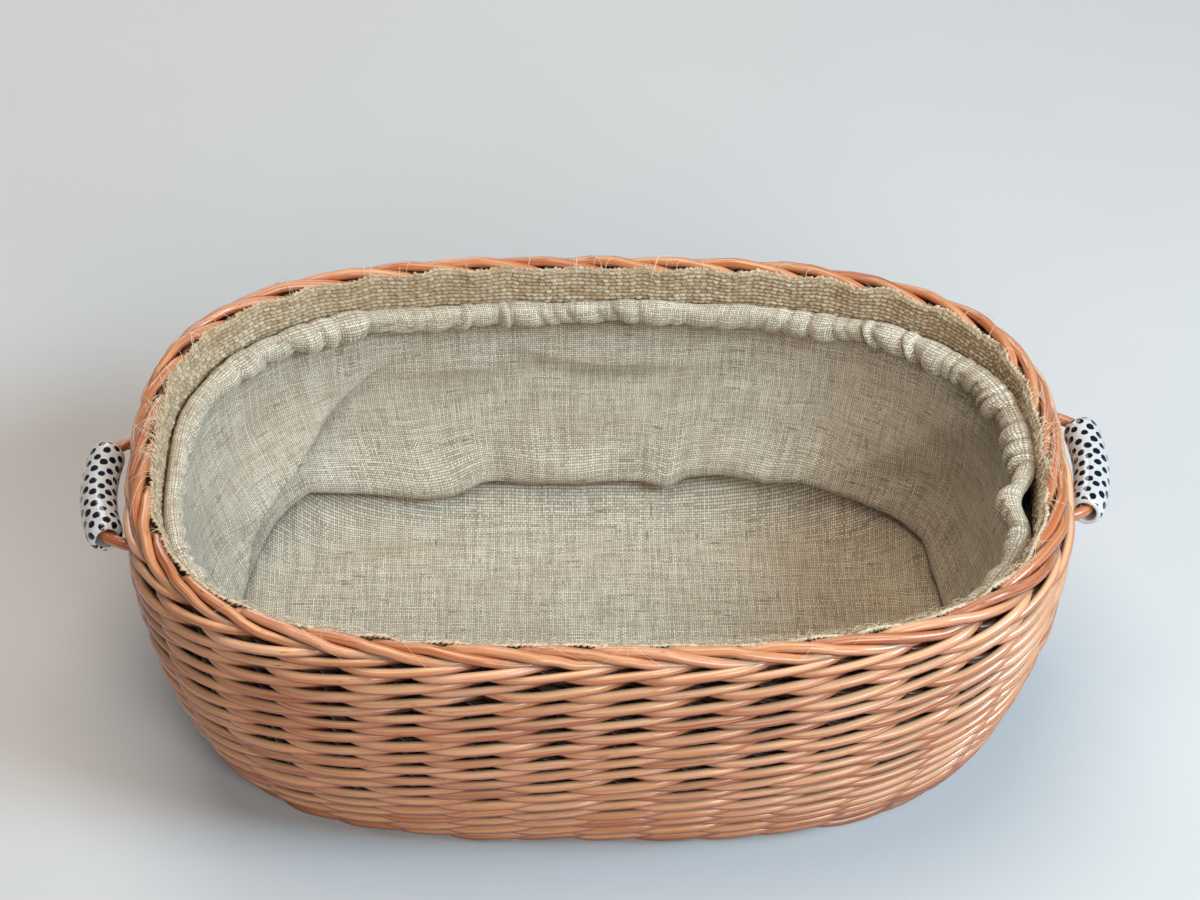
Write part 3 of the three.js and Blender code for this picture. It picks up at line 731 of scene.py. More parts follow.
material, nodes = finish_of("dotted_glaze")
unrolled = nodes.unrolled()
column_place = nodes.times(unrolled["X"], DOT_COLUMNS)
column = nodes.math("FLOOR", column_place)
stagger = nodes.times(nodes.math("MODULO", column, 2), 0.5)
row_place = nodes.plus(nodes.math("DIVIDE", unrolled["Y"], DOT_PITCH), stagger)
cell = nodes.spot(nodes.math("MODULO", column, DOT_COLUMNS), nodes.math("FLOOR", row_place))
by_hand = nodes.add("TexWhiteNoise", {"Vector": cell}).outputs["Color"]
by_hand = nodes.add("SeparateColor", {"Color": by_hand}).outputs
column_width = 2 * math.pi * GRIP_RADIUS / DOT_COLUMNS
across = nodes.minus(nodes.math("FRACT", column_place), nodes.between(by_hand[0], 0, 1, 0.44, 0.56))
lengthways = nodes.minus(nodes.math("FRACT", row_place), nodes.between(by_hand[1], 0, 1, 0.43, 0.57))
offset = nodes.spot(nodes.times(across, column_width), nodes.times(lengthways, DOT_PITCH))
place = nodes.place()
brush = nodes.times(nodes.minus(nodes.noise(place, 700), 0.5), DOT_BRUSH)
distance = nodes.plus(nodes.add("VectorMath", {0: offset}, operation="LENGTH").outputs["Value"], brush)
size = nodes.between(by_hand[2], 0, 1, DOT_RADIUS * 0.9, DOT_RADIUS * 1.08)
dot = nodes.between(nodes.minus(distance, size), DOT_EDGE, -DOT_EDGE)
belly_middle, belly_reach = walked[ring // 2], GRIP_HALF_LENGTH + DOTS_PAST_END
outside = nodes.times(nodes.math("GREATER_THAN", unrolled["Y"], belly_middle - belly_reach),
                      nodes.math("LESS_THAN", unrolled["Y"], belly_middle + belly_reach))
ink = nodes.mix(nodes.noise(place, 260, 3.0), INK_BLACK, INK_BLUE)
white = nodes.mix(nodes.noise(place, 90, 3.0), GLAZE_WHITE, GLAZE_GREY)
nodes.surface({"Base Color": nodes.mix(nodes.times(dot, outside), white, ink), "Roughness": 0.12,
               "Coat Weight": 0.35, "Coat Roughness": 0.05}, bump=(nodes.noise(place, 130), 0.12, 0.001))
for side, grip in (("right", right_grip), ("left", left_grip)):
    grip.data.materials.append(material)
    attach(grip, f"{side}_grip")
    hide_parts(f"{side}_ceramic_grip")

# Jute band: coarse webbing glued round the inside of the rim. Its floats lie in rows like bricks,
# and its thick pale edge dips at each kink of the border.
BAND_INSIDE = -0.0079
BAND_TOP = 0.1508
BAND_BOTTOM = 0.1075
BAND_DIP = 0.0008
BAND_LEAN = 0.0026
BAND_LEAN_MEAN = 0.55
BAND_LEAN_KINK = 0.45
BAND_FLOATS = 352
BAND_ROW_PITCH = 0.0021
BAND_ROWS = 13
BAND_RELIEF = 0.0010
BAND_UNEVEN = 0.3
FLOAT_SLANT = 0.16
FLOAT_ROUNDNESS = 0.8
FLOAT_LEAST = 0.3
STEPS_PER_FLOAT = 4
BAND_PLAIN_STEPS = 4
BAND_EDGE_STEPS = 6
BAND_EDGE = 0.0009
BAND_EDGE_TWIST = 460
BAND_EDGE_TURN = 1.5 * math.pi
TWIST_TURN, TWIST_WANDER = 0.8, 1.2
TWIST_DEPTH, EDGE_RAGGED = 0.4, 0.2
ROUND_OFF = 1e-6
KINK_DEPTHS = (0.2, 0.9)
KINK_BEFORE = 0.1
KINK_INWARD = 0.0006
WANDER_DEPTH = 0.0004
WANDER_APART = 0.2
RAGGED_DEPTH = 0.0002
WANDER_COUNTS = (3, 5, 7, 11, 17, 23, 31, 41, 53)
RAGGED_COUNTS = (67, 101, 149, 211, 263)
SHEET_WELD = 1e-6
JUTE_DULL = colour(182, 156, 122)
JUTE_PALE = colour(228, 211, 183)
JUTE_FIBRE = colour(146, 118, 86)
JUTE_GAP_SHADE = colour(92, 68, 44)
JUTE_PATCH = colour(170, 140, 104)
FRINGE_DULL = colour(190, 164, 128)
FRINGE_PALE = colour(242, 228, 202)


def sheet_on_grid(name, columns, rows, place, unroll, shade=None):
    """A sheet from a flat grid, with its front to the middle of the basket. From shares across and up,
    place gives the points, unroll the UV map, and shade how far the light is kept off."""
    bpy.ops.object.select_all(action="DESELECT")
    bpy.ops.mesh.primitive_grid_add(x_subdivisions=columns, y_subdivisions=rows, size=1)
    piece = bpy.context.object
    piece.name = name
    mesh = piece.data
    across, up = read(mesh.vertices, "co", 3)[:, :2].T + 0.5
    mesh.vertices.foreach_set("co", place(across, up).ravel())
    if shade:
        paint(mesh, "shade", shade(across, up))
    layer = mesh.uv_layers[0].data
    layer.foreach_set("uv", np.stack(unroll(*read(layer, "uv", 2).T), axis=-1).ravel())
    mend(SHEET_WELD, flip=True)
    bpy.ops.object.shade_smooth()
    return piece


band_steps = BAND_PLAIN_STEPS + BAND_ROWS * STEPS_PER_FLOAT + BAND_EDGE_STEPS
band_uneven = chance.normal(0, 1, (BAND_ROWS + 2, BAND_FLOATS + 1))
band_waves = chance.uniform(0, 2 * math.pi, len(WANDER_COUNTS))
kink_depths = chance.uniform(*KINK_DEPTHS, STAKE_COUNT + 1)


def band_rows_up(up):
    """Rows of floats counted up the band from where the relief begins; beyond the last is the turned edge."""
    return (up * band_steps - BAND_PLAIN_STEPS) / STEPS_PER_FLOAT


def band_wander(length):
    return sum(rim_wave(length, count, start) for count, start in zip(WANDER_COUNTS, band_waves)) / 3


def band_ragged(length):
    return sum(rim_wave(length, count, 3 * start) for count, start in zip(RAGGED_COUNTS, band_waves)) / 2


def band_place(across, up):
    length = across * RIM_LENGTH
    rows = band_rows_up(up)
    row = np.clip(np.floor(rows + ROUND_OFF), 0, BAND_ROWS).astype(int)
    along = across * BAND_FLOATS + 0.5 * (row % 2) + FLOAT_SLANT * np.sin(math.pi * rows)
    float_index = np.floor(along + ROUND_OFF).astype(int) % BAND_FLOATS
    plump = FLOAT_LEAST + (1 - FLOAT_LEAST) * np.abs(np.sin(math.pi * along)) ** FLOAT_ROUNDNESS
    plump = plump * np.abs(np.sin(math.pi * rows)) ** FLOAT_ROUNDNESS
    relief = BAND_RELIEF * plump * (1 + BAND_UNEVEN * band_uneven[row, float_index])
    stakes = (length - stake_start(0)) / STAKE_SPACING - KINK_BEFORE
    kinks = np.cos(2 * math.pi * stakes) * kink_depths[np.round(stakes).astype(int) % STAKE_COUNT]
    ragged, wandering = band_ragged(length), band_wander(length)
    top = BAND_TOP - BAND_DIP * kinks + WANDER_DEPTH * wandering + RAGGED_DEPTH * ragged
    fine_bottom = BAND_TOP - BAND_ROWS * BAND_ROW_PITCH
    woven = np.clip(rows / BAND_ROWS, 0, 1)
    plain = BAND_BOTTOM + (fine_bottom - BAND_BOTTOM) * up * band_steps / BAND_PLAIN_STEPS
    z = np.where(rows < 0, plain, fine_bottom + (top - fine_bottom) * woven)

    turned = np.clip((up * band_steps - band_steps + BAND_EDGE_STEPS) / BAND_EDGE_STEPS, 0, 1)
    twist = 2 * math.pi * (across * BAND_EDGE_TWIST + TWIST_TURN * turned) + TWIST_WANDER * wandering
    roll = BAND_EDGE * (1 + TWIST_DEPTH * np.sin(twist) + EDGE_RAGGED * ragged) * (turned > 0)
    z = z + roll * np.sin(BAND_EDGE_TURN * turned)
    inside = BAND_INSIDE - draw_in(z) - relief * (rows >= 0) * (turned == 0) - KINK_INWARD * kinks * woven
    inside = inside + BAND_LEAN * (BAND_LEAN_MEAN - BAND_LEAN_KINK * kinks) * woven ** 3
    inside = inside - WANDER_DEPTH * band_wander(length + WANDER_APART) * woven
    return rim_point(length, inside + roll * (1 - np.cos(BAND_EDGE_TURN * turned)), z)


band = sheet_on_grid("jute_webbing", BAND_FLOATS * STEPS_PER_FLOAT, band_steps, band_place,
                     lambda across, up: (across * BAND_FLOATS, band_rows_up(up)))

material, nodes = finish_of("jute_yarn")
unrolled = nodes.unrolled()
row = nodes.math("FLOOR", unrolled["Y"])
slant = nodes.times(nodes.math("SINE", nodes.times(unrolled["Y"], math.pi)), FLOAT_SLANT)
along = nodes.plus(unrolled["X"], nodes.times(nodes.math("FLOORED_MODULO", row, 2), 0.5))
along = nodes.plus(along, slant)
cell = nodes.spot(nodes.math("FLOOR", along), row)
yarn = nodes.mix(nodes.add("TexWhiteNoise", {"Vector": cell}).outputs["Value"], JUTE_DULL, JUTE_PALE)
fibre_place = nodes.spot(nodes.times(unrolled["X"], 0.9), nodes.times(unrolled["Y"], 7.0))
fibre = nodes.noise(fibre_place, 1.6, 4.0, 0.7)
yarn = nodes.mix(nodes.between(fibre, 0.35, 0.7), nodes.mix(0.4, yarn, JUTE_FIBRE), yarn)
# Painted shade in the gaps between the floats and between the rows.
edge_along = nodes.math("ABSOLUTE", nodes.minus(nodes.math("FRACT", along), 0.5))
edge_up = nodes.math("ABSOLUTE", nodes.minus(nodes.math("FRACT", unrolled["Y"]), 0.5))
ragged = nodes.times(nodes.minus(fibre, 0.5), 0.3)
gap_along = nodes.between(nodes.plus(edge_along, ragged), 0.36, 0.52, 0, 0.75)
gap_up = nodes.between(nodes.plus(edge_up, ragged), 0.34, 0.54, 0, 0.7)
yarn = nodes.mix(nodes.math("MAXIMUM", gap_along, gap_up), yarn, JUTE_GAP_SHADE)
patch = nodes.noise(nodes.place(), 38, 3.0)
yarn = nodes.mix(nodes.between(patch, 0.4, 0.75, 0, 0.35), yarn, JUTE_PATCH)
fringe = nodes.between(unrolled["Y"], BAND_ROWS + 0.2, BAND_ROWS + 0.8)
yarn = nodes.mix(fringe, yarn, nodes.mix(fibre, FRINGE_DULL, FRINGE_PALE))
nodes.surface({"Base Color": yarn, "Roughness": 0.95, "Specular IOR Level": 0.15}, bump=(fibre, 0.6, 0.0005))
band.data.materials.append(material)
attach(band, "basket")
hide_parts("jute_band")

# Loose fibres of the band: jute that has worked out of the webbing in use. There is a short fuzz
# along its edge, and a few long hairs lie over the border, half of them in tufts.
FUZZ_COUNT = 2600
HAIR_COUNT = 170
HAIR_TUFTS = (0.012, 0.560, 0.585, 1.150)
TUFT_SPREAD = 0.012
FUZZ_REACH, HAIR_REACH = (0.0012, 0.0040), (0.008, 0.020)
FUZZ_OUTWARD, HAIR_OUTWARD = (-0.4, 0.6), (0.4, 0.95)
FUZZ_RISE, HAIR_RISE = (0.0, 0.55), (0.0045, 0.0070)
FIBRE_LEAN = 0.6
FIBRE_CURL = 0.8
FIBRE_ROOT = (-0.0006, 0.0016)
FIBRE_ABOVE = 0.0003
FIBRE_RADIUS = 0.00009
FIBRE_UNEVEN = (0.7, 1.2)
FIBRE_TAPER = (1.2, 0.8)
FIBRE_SIDES = 4
FIBRE_POINTS = 7
HAIR_THICKER = 1.5
FIBRE_DULL = colour(206, 176, 134)
FIBRE_PALE = colour(244, 230, 204)

curve = empty_curve(FIBRE_SIDES)
share = np.linspace(0, 1, FIBRE_POINTS)
taper = FIBRE_TAPER[0] - FIBRE_TAPER[1] * share
for i in range(FUZZ_COUNT + HAIR_COUNT):
    long = i >= FUZZ_COUNT
    root = chance.uniform(0, RIM_LENGTH)
    if long and i % 2:
        root = chance.choice(HAIR_TUFTS) + chance.normal(0, TUFT_SPREAD)
    reach = chance.uniform(*(HAIR_REACH if long else FUZZ_REACH))
    lean, curl = chance.normal(0, FIBRE_LEAN), chance.normal(0, FIBRE_CURL)
    outward = chance.uniform(*(HAIR_OUTWARD if long else FUZZ_OUTWARD))
    length = root + reach * (lean * share + curl * share ** 2)
    out = BAND_INSIDE + chance.uniform(*FIBRE_ROOT) + reach * outward * share
    if long:
        rise = chance.uniform(*HAIR_RISE) * np.sin(math.pi * share ** 0.7)
    else:
        rise = reach * chance.uniform(*FUZZ_RISE) * np.sin(2.0 * share)
    z = BAND_TOP + FIBRE_ABOVE - BAND_DIP * chance.uniform(0, 1) + rise
    radius = FIBRE_RADIUS * (HAIR_THICKER if long else 1) * chance.uniform(*FIBRE_UNEVEN)
    add_spline(curve, rim_point(length, out, z), radius * taper)
bpy.ops.object.convert(target="MESH")
fibres = bpy.context.object
fibres.name = "jute_fibres"
bpy.ops.object.shade_smooth()

material, nodes = finish_of("loose_fibre")
tone = nodes.between(nodes.noise(nodes.place(), 420, 1.0), 0.3, 0.7)
nodes.surface({"Base Color": nodes.mix(tone, FIBRE_DULL, FIBRE_PALE), "Roughness": 0.6})
fibres.data.materials.append(material)
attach(fibres, "basket")

# Hook-and-loop tape: the black hook half is sewn to the band, and its loop half to the back of the lining.
# It holds the lining up, and shows only where the hem hangs away from the wall at the right end.
TAPE_WIDTH = 0.020
TAPE_TOP = 0.127
TAPE_COLUMNS = 300
TAPE_ROWS = 4
TAPE_THICKNESS = 0.001
PILE_SCALE = 900.0
HOOK_INSIDE = -0.0104
HOOK_DARK, HOOK_LIGHT = colour(12, 12, 13), colour(34, 34, 36)
LOOP_INSIDE = -0.0117
LOOP_DARK, LOOP_LIGHT = colour(20, 20, 22), colour(52, 52, 55)


def thicken(piece, thickness):
    """Gives a sheet its thickness, half to each side."""
    bpy.ops.object.modifier_add(type="SOLIDIFY")
    solid = piece.modifiers[0]
    solid.thickness = thickness
    solid.offset = 0
    bpy.ops.object.modifier_apply(modifier=solid.name)


def tape(name, inside, stands_for, body):
    def place(across, up):
        return rim_point(across * RIM_LENGTH, inside, TAPE_TOP - TAPE_WIDTH * (1 - up))

    def unroll(across, up):
        return across * RIM_LENGTH, up * TAPE_WIDTH

    piece = sheet_on_grid(name, TAPE_COLUMNS, TAPE_ROWS, place, unroll)
    thicken(piece, TAPE_THICKNESS)
    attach(piece, body)
    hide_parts(stands_for)
    return piece


hook_tape = tape("hook_half", HOOK_INSIDE, "hook_tape", "basket")
loop_tape = tape("loop_half", LOOP_INSIDE, "loop_tape", "lining")
for piece, name, dark, light in ((hook_tape, "hook_pile", HOOK_DARK, HOOK_LIGHT),
                                 (loop_tape, "loop_pile", LOOP_DARK, LOOP_LIGHT)):
    material, nodes = finish_of(name)
    pile = nodes.add("TexVoronoi", {"Vector": nodes.flat(), "Scale": PILE_SCALE}).outputs["Distance"]
    nodes.surface({"Base Color": nodes.mix(pile, light, dark), "Roughness": 0.7}, bump=(pile, 0.8, 0.0008))
    piece.data.materials.append(material)

# Linen lining, side panel: one strip of plain-woven linen sewn into a ring. Its top is turned over into a
# casing that the elastic gathers into puffs. Its foot is sewn to the base panel, and it sags over that seam.
HEM_INSIDE = -0.0138
HEM_LEVEL = 0.1302
HEM_HALF_DEPTH = 0.0022
HEM_BACK_LOW = 0.0014
HEM_BACK_HIGH = 0.0042
HEM_BACK_BEND = 0.3
HEM_HALF_HEIGHT = 0.0046
HEM_FULLNESS = 0.0052
HEM_FULL_UP, HEM_FULL_DOWN = 0.45, 0.6
HEM_SQUARE_IN, HEM_SQUARE_UP = 0.8, 0.85
HEM_START, HEM_TURN = -85, 345
HEM_LEAN = 0.0045
HEM_WAVES, HEM_FINE_WAVES = 7, 17
HEM_SWAY, HEM_FINE_SWAY = 0.0008, 0.0006
HEM_PUFFS, PUFF_WIDTHS, PUFF_SHARE = 96, (0.5, 1.7), 0.75
HEM_SWELLS, SWELL_WIDTHS, SWELL_SHARE = 37, (0.5, 1.6), 0.45
PUFF_SIZES = (0.3, 1.0)
PUFF_ROUNDNESS = 0.55
PUFF_PLAIN, PUFF_CORNER, CORNER_SHARPNESS = 0.75, 0.4, 1.5
HEM_STEPS = 26
PANEL_STEPS = 78
LINING_COLUMNS = 950
CASING_LENGTH = 0.030
PANEL_LENGTH = 0.108
PANEL_CROWDING = 0.05
WALL_GAP = 0.0088
WALL_PRESS = 0.0003
TOP_GAP = 0.0127
STITCH_LEVEL = 0.1248
SAG = 0.0048
SAG_LEVEL = 0.0068
SAG_HEIGHT = 0.0115
SAG_START = 0.0016
PLEAT = 0.0018
PLEAT_EVEN = 0.4
PLEAT_REACH = 0.012
PULL_REACH = 0.030
PINCH = 0.0013
PINCH_REACH = 0.0013
FOLD_ABOVE_SEAM = 0.005
FOLD_BELOW_STITCH = 0.010
FOLD_SHARPNESS = 1.5
# Slow waves of the cloth: crests round the rim, and how they tilt with height.
SLOW_WAVE = 0.0006
SLOW_FADING = 0.6
SLOW_WAVES = [(3, 54), (5, -84), (8, 132), (13, -180), (17, 246), (23, 216)]
# The tables below are in millimetres, along the rim from the +X end. First the seam's height: it rises in the
# far corners and sinks at the ends.
MM = 0.001
SEAM_HEIGHTS = [
    (0, 13.0), (52, 13.0), (67, 16.0), (85, 26.2), (101, 28.0), (119, 29.2), (142, 31.2), (162, 35.0),
    (170, 35.6), (187, 33.4), (200, 34.8), (214, 35.4), (234, 33.1), (246, 28.2), (262, 30.4), (280, 30.6),
    (302, 30.0), (332, 30.1), (355, 29.0), (375, 25.0), (393, 24.8), (411, 27.9), (435, 32.6), (457, 38.2),
    (478, 31.4), (499, 24.3), (516, 18.9), (545, 14.0), (620, 14.0), (760, 17.0), (900, 16.0), (1020, 17.0),
    (1100, 13.0), (RIM_LENGTH / MM, 13.0),
]
# Where the panel sags more or less over the seam: its middle, how much, its width.
SAGS = [(388, 2.2, 24), (350, -3.0, 12), (305, 2.2, 30), (247, 2.2, 10), (195, 2.0, 35), (120, -3.5, 30),
        (60, -4.0, 35), (478, -3.2, 24), (530, -3.0, 30)]
# Folds: a course of points (along the rim, height, how far it stands in), and its widths to each side.
FOLDS = [
    ([(430, 87, 2.0), (437, 83, 7.0), (452, 76, 13.0), (473, 63, 15.0), (494, 52, 13.0), (507, 40, 6.0)],
     26, 5.0),
    ([(225, 101, 0.8), (250, 98.5, 2.6), (285, 98.5, 3.4), (312, 102, 3.0), (336, 111, 1.2)], 13, 5.2),
    ([(330, 100, 0.6), (350, 97, 2.6), (370, 95, 2.2), (390, 94, 0.6)], 11, 6.0),
    ([(165, 43, 1.0), (150, 49, 5.5), (132, 58, 8.0), (112, 74, 8.0), (90, 99, 5.5), (70, 120, 1.0)], 15, 38),
    ([(124, 33, 2.6), (113, 42, 3.0), (104, 53, 1.2)], 6, 9),
    ([(300, 62, 0.6), (270, 57, 2.4), (235, 54, 2.4), (205, 57, 0.6)], 13, 16),
    ([(230, 84, 0.6), (200, 78, 2.4), (170, 76, 0.6)], 12, 16),
    ([(384, 60, 1.0), (392, 48, 3.4), (386, 38, 2.0)], 16, 18),
    ([(335, 56, 0.6), (322, 44, 2.6), (300, 40, 2.0)], 10, 12),
    ([(545, 108, 0.8), (528, 80, 3.4), (518, 52, 3.0), (520, 32, 1.0)], 12, 16),
    ([(600, 100, 0.8), (577, 76, 2.8), (560, 60, 1.0)], 10, 7),
    ([(640, 90, 0.8), (655, 60, 3.0), (650, 36, 1.0)], 14, 12),
    ([(700, 70, 0.8), (740, 56, 3.2), (790, 60, 1.0)], 16, 12),
    ([(900, 88, 0.8), (850, 78, 2.8), (800, 86, 1.0)], 13, 10),
    ([(1015, 98, 1.0), (1040, 70, 4.4), (1050, 36, 2.0)], 16, 10),
    ([(1122, 105, 1.4), (1112, 80, 3.8), (1100, 42, 2.0)], 10, 16),
    ([(30, 105, 1.0), (40, 78, 3.0), (50, 48, 1.4)], 10, 13),
]
# Where the hem hangs away from the wall, rides higher on the band, and is fuller by a share.
HEM_PULLS = [(1130, 7.8, 16), (10, -2.6, 60), (480, 1.4, 30), (100, 1.2, 30)]
HEM_LIFTS = [(12, 8.5, 62), (1110, 5.0, 35)]
HEM_FULLER = [(12, 0.9, 50), (70, 0.4, 40), (480, 0.35, 50)]
# Shade in hollows: the places round a point that it is measured against, and how deep a full hollow is.
SHADE_ROUND = [(9, 0), (-9, 0), (0, 9), (0, -9), (7, 7), (-7, 7), (7, -7), (-7, -7)]
SHADE_DEPTH = 0.0022
HOLLOW_SHADE = 0.8
CREASE_SHADE, CREASE_FULL, CREASE_SHARPNESS = 0.55, 0.5, 1.5
HEM_SHADE_REACH, HEM_FAR_REACH, HEM_FAR_SHADE = 0.0040, 0.016, 0.4
SEAM_SHADE_REACH = 0.0022
DEEPEST_SHADE = 1.2
SHADE_SHARE = 0.6
THREAD = 0.00105
THREAD_SWAY = 0.0009
LINEN_DULL = colour(172, 157, 134)
LINEN_PALE = colour(246, 236, 217)
LINEN_SLUB = colour(120, 99, 76)
LINEN_CLOUD = colour(200, 180, 154)
LINEN_DIP_SHADE = colour(104, 90, 72)
LINEN_HOLE = colour(70, 58, 44)
LINEN_SHADE = colour(92, 80, 64)


def gathers(count, narrow, wide):
    """Uneven puffs round the rim: where they end, and how full each is."""
    widths = chance.uniform(narrow, wide, count)
    ends = np.concatenate([[0], np.cumsum(widths)]) * RIM_LENGTH / widths.sum()
    return ends, chance.uniform(*PUFF_SIZES, count)


def puffed(length, ends, sizes):
    length = length % RIM_LENGTH
    index = np.clip(np.searchsorted(ends, length, side="right") - 1, 0, len(sizes) - 1)
    share = (length - ends[index]) / (ends[index + 1] - ends[index])
    return np.abs(np.sin(math.pi * share)) ** PUFF_ROUNDNESS * sizes[index]


hem_puffs = gathers(HEM_PUFFS, *PUFF_WIDTHS)
hem_swells = gathers(HEM_SWELLS, *SWELL_WIDTHS)
lining_waves = chance.uniform(0, 2 * math.pi, 12)
side_steps = HEM_STEPS + PANEL_STEPS


def apart(length, middle):
    """The way along the rim from a place to the point, the shorter way round."""
    return (length - middle + RIM_LENGTH / 2) % RIM_LENGTH - RIM_LENGTH / 2


def bumps(length, table):
    """What a table of round bumps adds up to along the rim."""
    return sum(more * np.exp(-((apart(length, middle * MM) / (width * MM)) ** 2))
               for middle, more, width in table)


def puff(length):
    """How far the hem is puffed up between the creases of the gathering, more so in the corners."""
    corner = np.abs(np.sin(2 * np.interp(length % RIM_LENGTH, arc_lengths, arc_angles))) ** CORNER_SHARPNESS
    full = PUFF_SHARE * puffed(length, *hem_puffs) + SWELL_SHARE * puffed(length, *hem_swells)
    return full * (PUFF_PLAIN + PUFF_CORNER * corner + bumps(length, HEM_FULLER))


def fold_relief(length, z):
    """How far the folds stand in from the wall."""
    relief = 0
    for points, left, right in FOLDS:
        fold = 0
        course = np.array(points) * MM
        for (start, start_z, rise), (end, end_z, end_rise) in zip(course, course[1:]):
            reach = math.hypot(end - start, end_z - start_z)
            run, climb = (end - start) / reach, (end_z - start_z) / reach
            along, up = apart(length, start), z - start_z
            share = np.clip((along * run + up * climb) / reach, 0, 1)
            away = np.hypot(along - share * reach * run, up - share * reach * climb)
            width = MM * np.where(along * climb - up * run < 0, left, right)
            height = rise + (end_rise - rise) * share
            fold = np.maximum(fold, height * np.exp(-((away / width) ** FOLD_SHARPNESS)))
        relief = relief + fold
    slow = sum(rim_wave(length, count, start + tilt * z) / count ** SLOW_FADING
               for (count, tilt), start in zip(SLOW_WAVES, lining_waves))
    return relief + SLOW_WAVE * slow


def seam_level(length):
    return np.interp(length % RIM_LENGTH, *(np.array(SEAM_HEIGHTS).T * MM))


def lining_inside(z):
    """How far inside the rim oval the wall lets the lining lie."""
    return np.maximum(TOP_GAP, draw_in(z) + WALL_GAP)


def hem_lift(length):
    return MM * bumps(length, HEM_LIFTS)


def hem_pull(length):
    return MM * bumps(length, HEM_PULLS)


def panel_share(up):
    """How far down the panel a row lies, from the stitching, 0, to the seam, 1. The casing's rows are 0."""
    return np.clip(((1 - up) * side_steps - HEM_STEPS) / PANEL_STEPS, 0, 1)


def panel_course(length, up):
    """Heights of the seam, of the stitching under the casing and of a row of the panel between them."""
    share = panel_share(up)
    seam, stitch = seam_level(length), STITCH_LEVEL + hem_lift(length)
    return seam, stitch, stitch + (seam - stitch) * (share + PANEL_CROWDING * np.sin(2 * math.pi * share))


def rounded(wave, squareness):
    return np.sign(wave) * np.abs(wave) ** squareness


def side_place(across, up):
    length = across * RIM_LENGTH
    step = (1 - up) * side_steps
    turn = np.radians(HEM_START + HEM_TURN * np.clip(step / HEM_STEPS, 0, 1))
    full = puff(length + HEM_LEAN * rim_wave(length, HEM_WAVES, lining_waves[0]) * np.sin(turn))
    lifted = np.clip((np.sin(turn) + HEM_BACK_BEND) / (2 * HEM_BACK_BEND), 0, 1)
    back = HEM_BACK_LOW + (HEM_BACK_HIGH - HEM_BACK_LOW) * lifted
    depth = np.where(np.cos(turn) > 0, back, HEM_HALF_DEPTH + HEM_FULLNESS * full)
    height = HEM_HALF_HEIGHT + HEM_FULLNESS * full * np.where(np.sin(turn) > 0, HEM_FULL_UP, HEM_FULL_DOWN)
    hem_in = HEM_INSIDE - hem_pull(length) + depth * rounded(np.cos(turn), HEM_SQUARE_IN)
    hem_z = HEM_LEVEL + hem_lift(length) + height * rounded(np.sin(turn), HEM_SQUARE_UP)
    hem_z = hem_z - HEM_SWAY * rim_wave(length, HEM_WAVES, lining_waves[1])
    hem_z = hem_z - HEM_FINE_SWAY * rim_wave(length, HEM_FINE_WAVES, lining_waves[2])

    seam, stitch, panel_z = panel_course(length, up)
    below, above_seam = stitch - panel_z, panel_z - seam
    sag = (SAG + MM * bumps(length, SAGS)) * np.exp(-(((above_seam - SAG_LEVEL) / SAG_HEIGHT) ** 2))
    sag = sag * np.clip(above_seam / SAG_START, 0, 1) ** 0.5
    pleats = PLEAT * (puff(length) - PLEAT_EVEN) * np.exp(-below / PLEAT_REACH)
    fade = np.clip(above_seam / FOLD_ABOVE_SEAM, 0, 1) * np.clip(below / FOLD_BELOW_STITCH, 0, 1)
    standing = np.maximum(sag + pleats + fold_relief(length, panel_z) * fade, -WALL_PRESS)
    pulled = np.maximum(hem_pull(length), 0) * np.exp(-below / PULL_REACH)
    panel_in = PINCH * np.exp(-above_seam / PINCH_REACH) - lining_inside(panel_z) - standing - pulled
    in_hem = step <= HEM_STEPS
    return rim_point(length, np.where(in_hem, hem_in, panel_in), np.where(in_hem, hem_z, panel_z))


def side_unroll(across, up):
    casing = np.clip((1 - up) * side_steps / HEM_STEPS, 0, 1)
    return across * RIM_LENGTH, casing * CASING_LENGTH + panel_share(up) * PANEL_LENGTH


def side_shade(across, up):
    """Where the light doesn't reach: under the hem, in its creases, beside the folds and along the seam."""
    length = across * RIM_LENGTH
    crease = CREASE_SHADE * np.clip(1 - puff(length) / CREASE_FULL, 0, 1) ** CREASE_SHARPNESS
    seam, stitch, z = panel_course(length, up)
    beside = sum(fold_relief(length + along * MM, z + rise * MM) for along, rise in SHADE_ROUND)
    hollow = np.clip((beside / len(SHADE_ROUND) - fold_relief(length, z)) / SHADE_DEPTH, 0, 1)
    below = np.clip(stitch - z, 0, 1)
    under_hem = np.exp(-below / HEM_SHADE_REACH) + HEM_FAR_SHADE * np.exp(-below / HEM_FAR_REACH)
    by_seam = np.exp(-(z - seam) / SEAM_SHADE_REACH)
    shade = np.minimum(np.maximum.reduce([under_hem, HOLLOW_SHADE * hollow, by_seam]), DEEPEST_SHADE)
    return np.where((1 - up) * side_steps < HEM_STEPS, crease, shade)


side_panel = sheet_on_grid("linen_side_panel", LINING_COLUMNS, side_steps, side_place, side_unroll,
                           side_shade)


